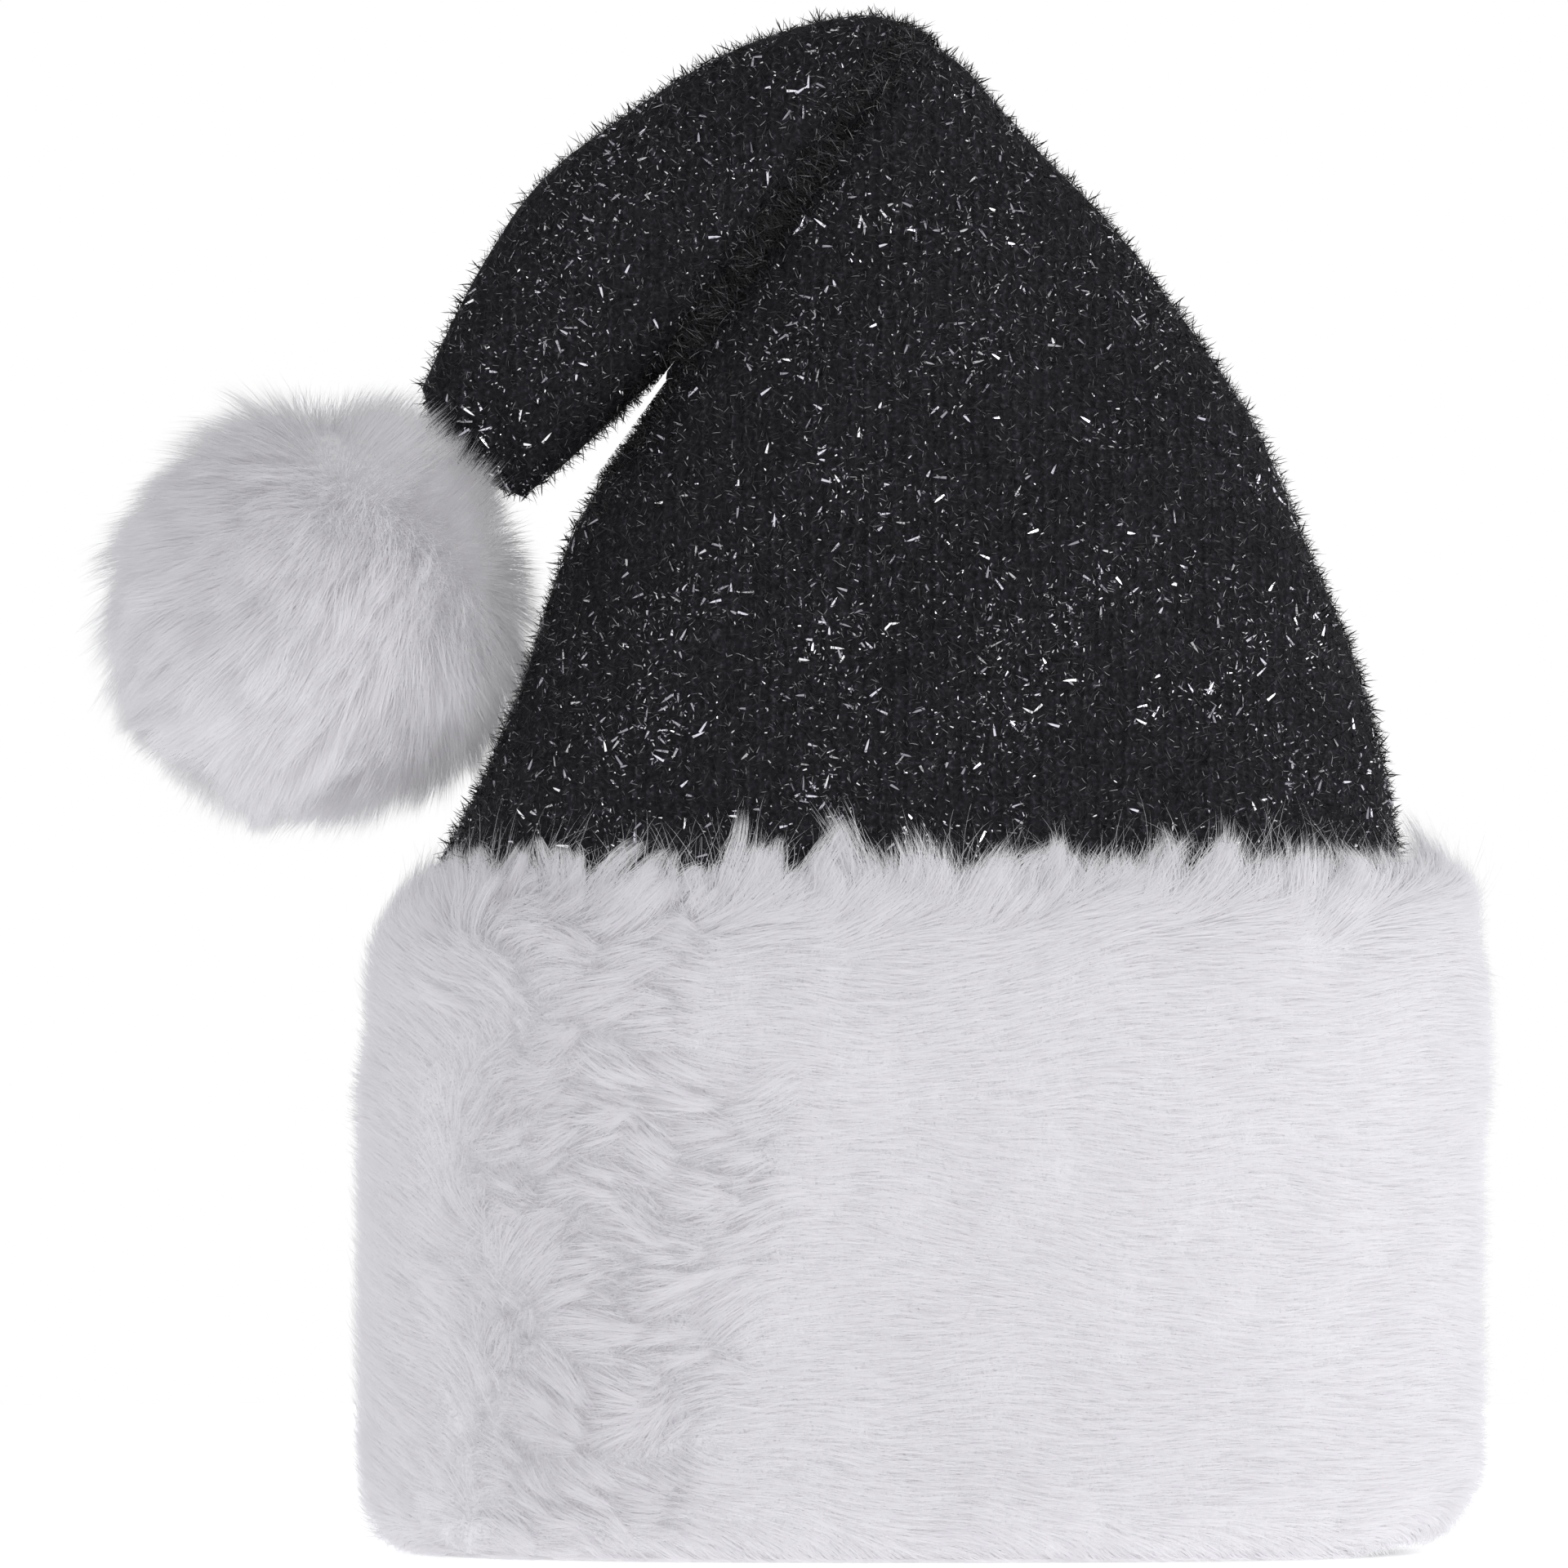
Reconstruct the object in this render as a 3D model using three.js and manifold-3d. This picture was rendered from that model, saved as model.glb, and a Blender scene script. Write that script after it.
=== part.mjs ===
// A plush party stocking hat: a black knitted crown whose long tail is folded over to the left,
// a deep fur cuff, and a fur pom-pom hung from the gathered tip of the tail.
// Millimetres, +Z up, front towards -Y. It is laid out about the middle of the head opening, on the
// plane that the cuff stands on, and moved sideways at the end, so that the origin is under the
// middle of the whole hat, pom-pom included.

import * as THREE from 'three';
import { mergeVertices } from 'three/addons/utils/BufferGeometryUtils.js';
import Module from 'manifold-3d';

const wasm = await Module();
wasm.setup();

// ---- driving dimensions ----

// Crown shell where the cuff hides it: half width, half depth and the squareness of its section.
const SHELL_HALF_WIDTH = 117.4;
const SHELL_HALF_DEPTH = 68;
const SHELL_SQUARENESS = 2.5;

// Cuff.
const CUFF_HEIGHT = 168;
const PILE_THICKNESS = 17.7;
const PILE_BOTTOM_ROUND = 10;
const PILE_TOP_ROUND = 12;
const GROUND_THICKNESS = 1.6;
const GROUND_TOP = CUFF_HEIGHT - 4;
const BRIM_SEAM_Z = 5;
const BRIM_THREAD_R = 1.1;
const BACK_SEAM_HALF_WIDTH = 3;
const INNER_BAND_TOP = 52;

// Cloth layers, counted inwards from the outer face of the crown.
const LAYER_GAP = 0.4;
const PANEL_THICKNESS = 1.5;
const SEAM_THICKNESS = 0.8;
const SEAM_DEPTH = PANEL_THICKNESS + 3 * LAYER_GAP;
const SEAM_HALF_WIDTH = 3;
const LINING_THICKNESS = 1;
const INNER_BAND_THICKNESS = 1.5;
const LINING_DEPTH = SEAM_DEPTH + SEAM_THICKNESS + LAYER_GAP;
const INNER_BAND_DEPTH = LINING_DEPTH + LINING_THICKNESS + 2 * LAYER_GAP;

// The fold: the crease runs from its inner end, at the notch, to the apex. The crown stops short
// of the crease plane and the tail starts past it, because the fold opens there.
const CREASE_INNER = new THREE.Vector2(-63, 287);
const CREASE_APEX = new THREE.Vector2(2, 374);
const CREASE_HALF_DEPTH = 28;
const CREASE_SQUARENESS = 2.2;
const CROWN_CREASE_GAP = 1.5;
const TAIL_CREASE_GAP = 2.5;

// Pom-pom and the thread links that hang it. The tip pivot is where the first two links meet.
const POMPOM_CENTRE = new THREE.Vector3(-147.5, 0, 232);
const POMPOM_LEAN = THREE.MathUtils.degToRad(43.2);
const TIP_PIVOT_TO_CENTRE = 44;
const POMPOM_R = 46;
const POMPOM_CROWN_CUT = 38;
const PILE_MOUTH_R = 8;
const SKIN_R = 36.9;
const SKIN_THICKNESS = 1.1;
const SKIN_MOUTH_R = 3.6;
const FILLING_R = 34;
const LINK_WIRE_R = 0.6;
const LINK_R = 2.2;
const LOOP_R = 2.6;
const LINK_CLEARANCE = 0.3;
const GATHER_HALF_WIDTH = 6;
const GATHER_BEYOND_PIVOT = 5;

const COIL_R = 5;
const COIL_TOP = 4.9;
const SHANK_R = 1.6;
const MOUTH_THREAD_R = 5.5;

// Care label, sewn to the inner band at the back.
const LABEL = { width: 30, length: 36, thickness: 0.6, top: 50, y: 59.6 };

// How finely round things are faceted.
const HALF_LOOP_STEPS = 18;
const CROWN_ROWS = 9;
const TAIL_ROWS = 8;
const ROUND_STEPS = 3;
const LINK_FACETS = 8;
const BALL_FACETS = 28;
const BALL_ARC_STEPS = 10;

// ---- materials ----

function finish(colour, roughness, metalness = 0) {
  return new THREE.MeshStandardMaterial({ color: colour, roughness, metalness });
}

const KNIT = [0x17171a, 0.8, 0.15];
const FUR = [0xe4e3e8, 0.95];
const BACKING = [0xd8d6d8, 0.9];
const LINING = [0x101012, 0.7];
const BLACK_THREAD = [0x0b0b0c, 0.6];
const WHITE_THREAD = [0xf0eff0, 0.6];
const LABEL_SATIN = [0xf4f3ef, 0.45];

// ---- cross-sections ----

// A row is one cross-section: a squared ellipse that spans two points of the front view's outline
// (both in X and Z), with its half depth along Y.
function row(inner, outer, halfDepth, squareness) {
  return { inner, outer, halfDepth, squareness };
}

function rowPoint(section, angle) {
  const power = 2 / section.squareness;
  const across = Math.sign(Math.cos(angle)) * Math.abs(Math.cos(angle)) ** power;
  const deep = Math.sign(Math.sin(angle)) * Math.abs(Math.sin(angle)) ** power;
  const flat = section.inner.clone().lerp(section.outer, (across + 1) / 2);
  return new THREE.Vector3(flat.x, -deep * section.halfDepth, flat.y);
}

// The angle at which a row's outline is a given distance in front of the side seam.
function angleAtDepth(section, depth) {
  return Math.asin((depth / section.halfDepth) ** (section.squareness / 2));
}

// A point of the cloth, moved inwards by depth along the surface normal.
function clothPoint(rows, index, angle, depth) {
  const step = 0.02;
  const before = rowPoint(rows[Math.max(index - 1, 0)], angle);
  const after = rowPoint(rows[Math.min(index + 1, rows.length - 1)], angle);
  const along = after.sub(before);
  const around = rowPoint(rows[index], angle + step).sub(rowPoint(rows[index], angle - step));
  const inward = along.cross(around).normalize();
  const point = rowPoint(rows[index], angle);
  const centre = rowPoint(rows[index], 0).add(rowPoint(rows[index], Math.PI)).multiplyScalar(0.5);
  if (inward.dot(centre.sub(point)) < 0) inward.negate();
  return point.addScaledVector(inward, depth);
}

function evenAngles(from, to, steps) {
  return Array.from({ length: steps + 1 }, (_, i) => from + ((to - from) * i) / steps);
}

// ---- solids ----

function signedVolume(positions, triangles) {
  const corner = (i) => new THREE.Vector3().fromArray(positions, 3 * i);
  let sum = 0;
  for (let i = 0; i < triangles.length; i += 3) {
    const [a, b, c] = [corner(triangles[i]), corner(triangles[i + 1]), corner(triangles[i + 2])];
    sum += a.dot(b.cross(c));
  }
  return sum;
}

function closedGeometry(points, triangles) {
  const positions = points.flatMap((p) => [p.x, p.y, p.z]);
  if (signedVolume(positions, triangles) < 0) triangles.reverse();
  const geometry = new THREE.BufferGeometry();
  geometry.setAttribute('position', new THREE.Float32BufferAttribute(positions, 3));
  geometry.setIndex(triangles);
  geometry.computeVertexNormals();
  return geometry;
}

// A sheet with thickness, from two grids of points of the same size. A sheet that wraps joins its
// last column to its first.
function thickSheet(face, back, wraps) {
  const rowsCount = face.length;
  const columns = face[0].length;
  const points = [...face.flat(), ...back.flat()];
  const at = (side, r, c) => side * rowsCount * columns + r * columns + (c % columns);
  const triangles = [];
  const quad = (a, b, c, d) => triangles.push(a, b, c, a, c, d);
  const lastColumn = wraps ? columns : columns - 1;
  for (let c = 0; c < lastColumn; c += 1) {
    for (let r = 0; r < rowsCount - 1; r += 1) {
      quad(at(0, r, c), at(0, r + 1, c), at(0, r + 1, c + 1), at(0, r, c + 1));
      quad(at(1, r, c), at(1, r, c + 1), at(1, r + 1, c + 1), at(1, r + 1, c));
    }
    quad(at(0, 0, c), at(0, 0, c + 1), at(1, 0, c + 1), at(1, 0, c));
    const top = rowsCount - 1;
    quad(at(0, top, c), at(1, top, c), at(1, top, c + 1), at(0, top, c + 1));
  }
  if (!wraps) {
    const end = columns - 1;
    for (let r = 0; r < rowsCount - 1; r += 1) {
      quad(at(0, r, 0), at(1, r, 0), at(1, r + 1, 0), at(0, r + 1, 0));
      quad(at(0, r, end), at(0, r + 1, end), at(1, r + 1, end), at(1, r, end));
    }
  }
  return closedGeometry(points, triangles);
}

// A layer of cloth that follows the rows between two depths.
function clothLayer(rows, anglesFor, shallow, deep, wraps, adjust = (p) => p) {
  const grid = (depth) => rows.map((section, i) => (
    anglesFor(section).map((angle) => adjust(clothPoint(rows, i, angle, depth)))
  ));
  return thickSheet(grid(shallow), grid(deep), wraps);
}

// Half of the shell, in front of the side seams or behind them, clear of the other half.
function panel(rows, side) {
  const angles = evenAngles(0, side * Math.PI, HALF_LOOP_STEPS);
  const clear = (p) => {
    p.y = -side * Math.max(-side * p.y, LAYER_GAP);
    return p;
  };
  return clothLayer(rows, () => angles, 0, PANEL_THICKNESS, false, clear);
}

// The seam allowance inside a side seam. The outer side's seam is at angle 0, the inner at pi.
function seamStrip(rows, seamAngle) {
  const angles = (section) => {
    const reach = angleAtDepth(section, SEAM_HALF_WIDTH);
    return evenAngles(seamAngle - reach, seamAngle + reach, 2);
  };
  return clothLayer(rows, angles, SEAM_DEPTH, SEAM_DEPTH + SEAM_THICKNESS, false);
}

// The cuff's rings are squared ellipses that stand outside or inside the crown shell.
function cuffPoint(angle, outset, z) {
  const section = row(
    new THREE.Vector2(-SHELL_HALF_WIDTH - outset, z),
    new THREE.Vector2(SHELL_HALF_WIDTH + outset, z),
    SHELL_HALF_DEPTH + outset,
    SHELL_SQUARENESS,
  );
  return rowPoint(section, angle);
}

const BACK = -Math.PI / 2;
const FULL_LOOP = evenAngles(0, 2 * Math.PI, 2 * HALF_LOOP_STEPS).slice(0, -1);

// How far round from the middle of the back a point is that stands a given width to its side.
function angleAcross(width) {
  return Math.asin((width / SHELL_HALF_WIDTH) ** (SHELL_SQUARENESS / 2));
}

// Once round the cuff, from one side of the back seam to the other.
function loopOpenAtBack(halfWidth) {
  const angles = evenAngles(BACK, BACK + 2 * Math.PI, 2 * HALF_LOOP_STEPS);
  angles[0] += angleAcross(halfWidth);
  angles[angles.length - 1] -= angleAcross(halfWidth);
  return angles;
}

// A straight band of the cuff between two outsets.
function cuffBand(angles, innerOutset, outerOutset, bottom, top, wraps) {
  const wall = (outset) => [bottom, top].map((z) => angles.map((a) => cuffPoint(a, outset, z)));
  return thickSheet(wall(outerOutset), wall(innerOutset), wraps);
}

// A closed profile of [outset, z] points carried round the cuff.
function cuffRing(profile) {
  const points = profile.flatMap(([outset, z]) => FULL_LOOP.map((a) => cuffPoint(a, outset, z)));
  const count = FULL_LOOP.length;
  const triangles = [];
  profile.forEach((_, i) => {
    const next = (i + 1) % profile.length;
    for (let c = 0; c < count; c += 1) {
      const [a, b] = [i * count + c, i * count + ((c + 1) % count)];
      const [d, e] = [next * count + c, next * count + ((c + 1) % count)];
      triangles.push(a, b, e, a, e, d);
    }
  });
  return closedGeometry(points, triangles);
}

function arcPoints(centreX, centreY, radius, from, to, steps) {
  return evenAngles(from, to, steps).map((a) => (
    [centreX + radius * Math.cos(a), centreY + radius * Math.sin(a)]
  ));
}

function manifoldOf(geometry) {
  const bare = geometry.clone();
  bare.deleteAttribute('normal');
  bare.deleteAttribute('uv');
  const merged = mergeVertices(bare);
  return new wasm.Manifold(new wasm.Mesh({
    numProp: 3,
    vertProperties: new Float32Array(merged.attributes.position.array),
    triVerts: new Uint32Array(merged.index.array),
  }));
}

function joined(...geometries) {
  const whole = geometries.map(manifoldOf).reduce((sum, part) => sum.add(part)).getMesh();
  const geometry = new THREE.BufferGeometry();
  geometry.setAttribute('position', new THREE.Float32BufferAttribute(whole.vertProperties, 3));
  geometry.setIndex(new THREE.Uint32BufferAttribute(whole.triVerts, 1));
  geometry.computeVertexNormals();
  return geometry;
}

function named(name, geometry, [colour, roughness, metalness]) {
  const mesh = new THREE.Mesh(geometry, finish(colour, roughness, metalness));
  mesh.name = name;
  return mesh;
}

// ---- crown and tail cross-sections ----

const creaseAcross = new THREE.Vector2(
  CREASE_INNER.y - CREASE_APEX.y,
  CREASE_APEX.x - CREASE_INNER.x,
).normalize();

function besideCrease(point, distance) {
  return point.clone().addScaledVector(creaseAcross, distance);
}

function outline(...points) {
  const vectors = points.map((p) => (Array.isArray(p) ? new THREE.Vector2(...p) : p));
  return new THREE.SplineCurve(vectors);
}

function mix(from, to, share) {
  return from + (to - from) * share;
}

// Crown: straight inside the cuff, then tapering and tilting until its rows lie along the crease.
const crownLeft = outline(
  [-SHELL_HALF_WIDTH, CUFF_HEIGHT], [-99.5, 208], [-84, 251], [-69.5, 274],
  besideCrease(CREASE_INNER, -CROWN_CREASE_GAP),
);
const crownRight = outline(
  [SHELL_HALF_WIDTH, CUFF_HEIGHT], [106.5, 216], [87, 264], [57, 312.5], [26, 347],
  besideCrease(CREASE_APEX, -CROWN_CREASE_GAP),
);

function straightRow(z) {
  return row(
    new THREE.Vector2(-SHELL_HALF_WIDTH, z),
    new THREE.Vector2(SHELL_HALF_WIDTH, z),
    SHELL_HALF_DEPTH,
    SHELL_SQUARENESS,
  );
}

const crownRows = [BRIM_SEAM_Z, CUFF_HEIGHT / 2, CUFF_HEIGHT - PILE_TOP_ROUND].map(straightRow);
for (let i = 0; i <= CROWN_ROWS; i += 1) {
  const share = i / CROWN_ROWS;
  crownRows.push(row(
    crownLeft.getPointAt(share),
    crownRight.getPointAt(share),
    mix(SHELL_HALF_DEPTH, CREASE_HALF_DEPTH, share),
    mix(SHELL_SQUARENESS, CREASE_SQUARENESS, share),
  ));
}

// Tail: from the crease it turns down to the left and narrows, then it is gathered at the tip.
const TAIL_END_INNER = new THREE.Vector2(-97.5, 258.5);
const TAIL_END_OUTER = new THREE.Vector2(-121.5, 285);
const TAIL_END_HALF_DEPTH = 12;
const tailInner = outline(
  besideCrease(CREASE_INNER, TAIL_CREASE_GAP), [-76, 276.5], [-88, 265.5], TAIL_END_INNER,
);
const tailOuter = outline(
  besideCrease(CREASE_APEX, TAIL_CREASE_GAP),
  [-14, 376], [-40, 370], [-68, 353], [-91, 335.5], [-106, 316], TAIL_END_OUTER,
);

const tailRows = [];
for (let i = 0; i <= TAIL_ROWS; i += 1) {
  const share = i / TAIL_ROWS;
  tailRows.push(row(
    tailInner.getPointAt(share),
    tailOuter.getPointAt(share),
    mix(CREASE_HALF_DEPTH, TAIL_END_HALF_DEPTH, share),
    mix(CREASE_SQUARENESS, 2, share),
  ));
}

const towardsTail = new THREE.Vector2(Math.sin(POMPOM_LEAN), Math.cos(POMPOM_LEAN));
const acrossTail = new THREE.Vector2(-towardsTail.y, towardsTail.x);
const gatherCentre = new THREE.Vector2(POMPOM_CENTRE.x, POMPOM_CENTRE.z)
  .addScaledVector(towardsTail, TIP_PIVOT_TO_CENTRE + GATHER_BEYOND_PIVOT);
tailRows.push(row(
  gatherCentre.clone().addScaledVector(acrossTail, -GATHER_HALF_WIDTH),
  gatherCentre.clone().addScaledVector(acrossTail, GATHER_HALF_WIDTH),
  GATHER_HALF_WIDTH,
  2,
));

// ---- the hat body ----

const hat = new THREE.Group();

function addCrown() {
  hat.add(named('crown_front_panel', panel(crownRows, 1), KNIT));
  hat.add(named('crown_back_panel', panel(crownRows, -1), KNIT));
  hat.add(named('crown_right_seam', seamStrip(crownRows, 0), BLACK_THREAD));
  hat.add(named('crown_left_seam', seamStrip(crownRows, Math.PI), BLACK_THREAD));
  const liningBack = LINING_DEPTH + LINING_THICKNESS;
  const lining = clothLayer(crownRows, () => FULL_LOOP, LINING_DEPTH, liningBack, true);
  hat.add(named('crown_lining', lining, LINING));
}

function addCuff() {
  const pileInside = 2 * LAYER_GAP + GROUND_THICKNESS;
  const pileOutside = pileInside + PILE_THICKNESS;
  const quarter = Math.PI / 2;
  const bottomRound = arcPoints(
    pileOutside - PILE_BOTTOM_ROUND, PILE_BOTTOM_ROUND, PILE_BOTTOM_ROUND, -quarter, 0, ROUND_STEPS,
  );
  const topRound = arcPoints(
    pileOutside - PILE_TOP_ROUND, CUFF_HEIGHT - PILE_TOP_ROUND, PILE_TOP_ROUND, 0, quarter, ROUND_STEPS,
  );
  const pile = cuffRing([[pileInside, 0], ...bottomRound, ...topRound, [pileInside, GROUND_TOP]]);
  hat.add(named('cuff_pile', pile, FUR));

  const groundOutside = LAYER_GAP + GROUND_THICKNESS;
  const openLoop = loopOpenAtBack(BACK_SEAM_HALF_WIDTH + LAYER_GAP);
  const ground = cuffBand(openLoop, LAYER_GAP, groundOutside, BRIM_SEAM_Z, GROUND_TOP, false);
  hat.add(named('cuff_ground_fabric', ground, BACKING));

  const seamReach = angleAcross(BACK_SEAM_HALF_WIDTH);
  const seamAngles = evenAngles(BACK - seamReach, BACK + seamReach, 2);
  const seam = cuffBand(seamAngles, LAYER_GAP, groundOutside, BRIM_SEAM_Z, GROUND_TOP, false);
  hat.add(named('cuff_back_seam', seam, WHITE_THREAD));

  const threadZ = BRIM_SEAM_Z - LAYER_GAP - BRIM_THREAD_R;
  const thread = cuffRing(arcPoints(0, threadZ, BRIM_THREAD_R, 0, 2 * Math.PI, 6).slice(0, -1));
  hat.add(named('brim_seam_thread', thread, WHITE_THREAD));

  const bandBack = -INNER_BAND_DEPTH - INNER_BAND_THICKNESS;
  const band = cuffBand(FULL_LOOP, bandBack, -INNER_BAND_DEPTH, BRIM_SEAM_Z, INNER_BAND_TOP, true);
  hat.add(named('inner_band', band, LINING));
}

// The label hangs from its hinge line at the top of the inner band, in the middle of the back.
function addLabel() {
  const label = new THREE.BoxGeometry(LABEL.width, LABEL.thickness, LABEL.length);
  label.translate(0, 0, -LABEL.length / 2);
  const mesh = named('care_label', label, LABEL_SATIN);
  mesh.position.set(0, LABEL.y, LABEL.top);
  hat.add(mesh);
}

function addTail() {
  hat.add(named('tail_front_panel', panel(tailRows, 1), KNIT));
  hat.add(named('tail_back_panel', panel(tailRows, -1), KNIT));
  const seamRows = tailRows.slice(0, -1);
  hat.add(named('tail_outer_seam', seamStrip(seamRows, 0), BLACK_THREAD));
  hat.add(named('tail_inner_seam', seamStrip(seamRows, Math.PI), BLACK_THREAD));
}

// ---- pom-pom ----

// Everything here is built with the tip pivot at the origin and the tail straight above it.
function ring(radius, wireRadius, z, turnedToFace) {
  const geometry = new THREE.TorusGeometry(radius, wireRadius, LINK_FACETS, 2 * LINK_FACETS);
  if (turnedToFace === 'x') geometry.rotateY(Math.PI / 2);
  if (turnedToFace === 'y') geometry.rotateX(Math.PI / 2);
  geometry.translate(0, 0, z);
  return geometry;
}

function column(radius, bottom, top) {
  const geometry = new THREE.CylinderGeometry(radius, radius, top - bottom, 2 * LINK_FACETS);
  geometry.rotateX(Math.PI / 2);
  geometry.translate(0, 0, (top + bottom) / 2);
  return geometry;
}

// A shell or a ball about the pom-pom's centre, from a [radius, height] profile on its own axis.
function turned(profile) {
  const points = profile.map(([r, h]) => new THREE.Vector2(r, h));
  const geometry = new THREE.LatheGeometry(points, BALL_FACETS);
  geometry.rotateX(Math.PI / 2);
  geometry.translate(0, 0, -TIP_PIVOT_TO_CENTRE);
  return geometry;
}

// From where a ball of this radius meets a mouth, down to the ball's lowest point on the axis.
function ballArc(radius, mouthRadius) {
  const bearing = Math.acos(mouthRadius / radius);
  const arc = arcPoints(0, 0, radius, bearing, -Math.PI / 2, BALL_ARC_STEPS);
  return [...arc.slice(0, -1), [0, -radius]];
}

function addPompom() {
  const pompom = new THREE.Group();
  pompom.position.set(
    POMPOM_CENTRE.x + towardsTail.x * TIP_PIVOT_TO_CENTRE,
    0,
    POMPOM_CENTRE.z + towardsTail.y * TIP_PIVOT_TO_CENTRE,
  );
  pompom.rotation.y = POMPOM_LEAN;
  hat.add(pompom);

  // The three links share the tip pivot's line: each next ring hangs inside the one before it.
  const hang = 2 * LINK_WIRE_R + LINK_CLEARANCE;
  const loopCentre = hang - LOOP_R;
  const loopFoot = loopCentre - LOOP_R;
  const shankEyeCentre = loopFoot + hang - LINK_R;
  const shankEyeFoot = shankEyeCentre - LINK_R;
  const fillingTop = FILLING_R - TIP_PIVOT_TO_CENTRE;

  const coil = column(COIL_R, 2 * LINK_R - LINK_WIRE_R / 2, COIL_TOP);
  const gather = joined(ring(LINK_R, LINK_WIRE_R, LINK_R, 'x'), coil);
  pompom.add(named('tip_gathering_thread', gather, BLACK_THREAD));
  pompom.add(named('hanging_loop', ring(LOOP_R, LINK_WIRE_R, loopCentre, 'y'), WHITE_THREAD));
  const shank = joined(
    ring(LINK_R, LINK_WIRE_R, shankEyeCentre, 'x'),
    column(SHANK_R, fillingTop + LAYER_GAP, shankEyeFoot + LINK_WIRE_R / 2),
  );
  pompom.add(named('thread_shank', shank, WHITE_THREAD));

  const pileInside = SKIN_R + LAYER_GAP;
  const cutRadius = Math.sqrt(POMPOM_R ** 2 - POMPOM_CROWN_CUT ** 2);
  pompom.add(named('pompom_pile', turned([
    ...ballArc(POMPOM_R, cutRadius).reverse(),
    [PILE_MOUTH_R, POMPOM_CROWN_CUT],
    ...ballArc(pileInside, PILE_MOUTH_R),
  ]), FUR));
  pompom.add(named('pompom_skin', turned([
    ...ballArc(SKIN_R, SKIN_MOUTH_R).reverse(),
    ...ballArc(SKIN_R - SKIN_THICKNESS, SKIN_MOUTH_R),
  ]), BACKING));
  const filling = [...ballArc(FILLING_R, SKIN_MOUTH_R).reverse(), [0, FILLING_R]];
  pompom.add(named('pompom_filling', turned(filling), WHITE_THREAD));
  const skinAtThread = Math.sqrt(SKIN_R ** 2 - MOUTH_THREAD_R ** 2) - TIP_PIVOT_TO_CENTRE;
  const mouthThread = ring(MOUTH_THREAD_R, LINK_WIRE_R, skinAtThread + LINK_WIRE_R + LAYER_GAP);
  pompom.add(named('pompom_mouth_thread', mouthThread, WHITE_THREAD));
}

addCrown();
addCuff();
addLabel();
addTail();
addPompom();

hat.updateMatrixWorld(true);
const extent = new THREE.Box3().setFromObject(hat, true);
hat.position.x = -(extent.min.x + extent.max.x) / 2;

export default hat;
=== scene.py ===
"""Looks of the party stocking hat: tinsel-knit cloth, combed fur cuff and fur pom-pom.

Shapes are laid out in millimetres about the middle of the head opening, with the front towards -Y,
and put into the frame's metres when a mesh is made.
"""

import math

import bpy
import numpy as np
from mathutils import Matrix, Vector
from mathutils.kdtree import KDTree


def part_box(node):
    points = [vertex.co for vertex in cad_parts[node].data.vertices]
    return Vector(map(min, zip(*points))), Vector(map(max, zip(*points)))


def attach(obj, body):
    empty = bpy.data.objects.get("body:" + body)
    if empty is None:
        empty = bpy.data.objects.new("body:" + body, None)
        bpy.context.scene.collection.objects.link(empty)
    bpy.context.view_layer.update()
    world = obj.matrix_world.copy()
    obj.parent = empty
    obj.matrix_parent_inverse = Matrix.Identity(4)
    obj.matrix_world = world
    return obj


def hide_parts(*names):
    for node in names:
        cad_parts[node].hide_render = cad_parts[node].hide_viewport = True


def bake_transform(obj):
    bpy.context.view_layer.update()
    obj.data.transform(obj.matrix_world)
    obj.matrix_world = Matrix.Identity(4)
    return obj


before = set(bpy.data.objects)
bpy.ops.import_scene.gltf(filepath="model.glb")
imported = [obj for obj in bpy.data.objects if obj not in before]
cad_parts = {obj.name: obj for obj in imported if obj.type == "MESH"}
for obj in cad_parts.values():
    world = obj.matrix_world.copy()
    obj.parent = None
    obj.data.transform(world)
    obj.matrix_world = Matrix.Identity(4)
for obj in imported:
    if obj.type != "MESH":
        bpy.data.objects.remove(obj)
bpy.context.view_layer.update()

# ---------------------------------------------------------------- driving sizes, in millimetres

MM = 0.001
SEED = 2025

# The crown shell inside the cuff, as squared ellipses: half width, half depth, squareness.
SHELL_HALF_WIDTH = 117.4
SHELL_HALF_DEPTH = 68.0
SHELL_SQUARENESS = 2.5
BRIM_Z = 5.0
CUFF_TOP = 168.0

# The fold.
CREASE_INNER = np.array([-63.0, 287.0])
CREASE_APEX = np.array([2.0, 374.0])
FOLD_PIVOT = CREASE_APEX + (CREASE_APEX - CREASE_INNER) / np.linalg.norm(CREASE_APEX - CREASE_INNER)
FOLD_ANGLE = math.radians(80)
FOLD_HALF_ZONE = 0.8
CREASE_HALF_DEPTH = 29.0
CREASE_SQUARENESS = 2.2
VALLEY_SAG = 0.26
VALLEY_WIDTH = 7.0
HOLLOW_SAG = 0.16
HOLLOW_WIDTH = 24.0

# The tail's end, and the tip gathered inside the pom-pom's fur.
TAIL_END_INNER = np.array([-97.5, 258.5])
TAIL_END_OUTER = np.array([-121.5, 285.0])
TAIL_END_HALF_DEPTH = 13.0
GATHER_HALF_WIDTH = 5.6
GATHER_FROM_CENTRE = 49.0

# Pom-pom.
POMPOM_CENTRE = np.array([-147.5, 0.0, 232.0])
POMPOM_LEAN = math.radians(43.2)
POMPOM_ROOT_R = 38.0
POMPOM_COAT_R = 43.0
POMPOM_AXIS = np.array([math.sin(POMPOM_LEAN), 0.0, math.cos(POMPOM_LEAN)])
POMPOM_FUR = 24.6
POMPOM_FUR_WIDTH = 0.08, 0.13  # narrowest and widest half width of a fibre
POMPOM_FIBRES = 80000
FIBRES_PER_POMPOM_LOCK = 48

inner_low, inner_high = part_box("inner_band")
OPENING_X = (inner_low.x + inner_high.x) / 2 / MM
rng = np.random.default_rng(SEED)


# ---------------------------------------------------------------- small maths


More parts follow.
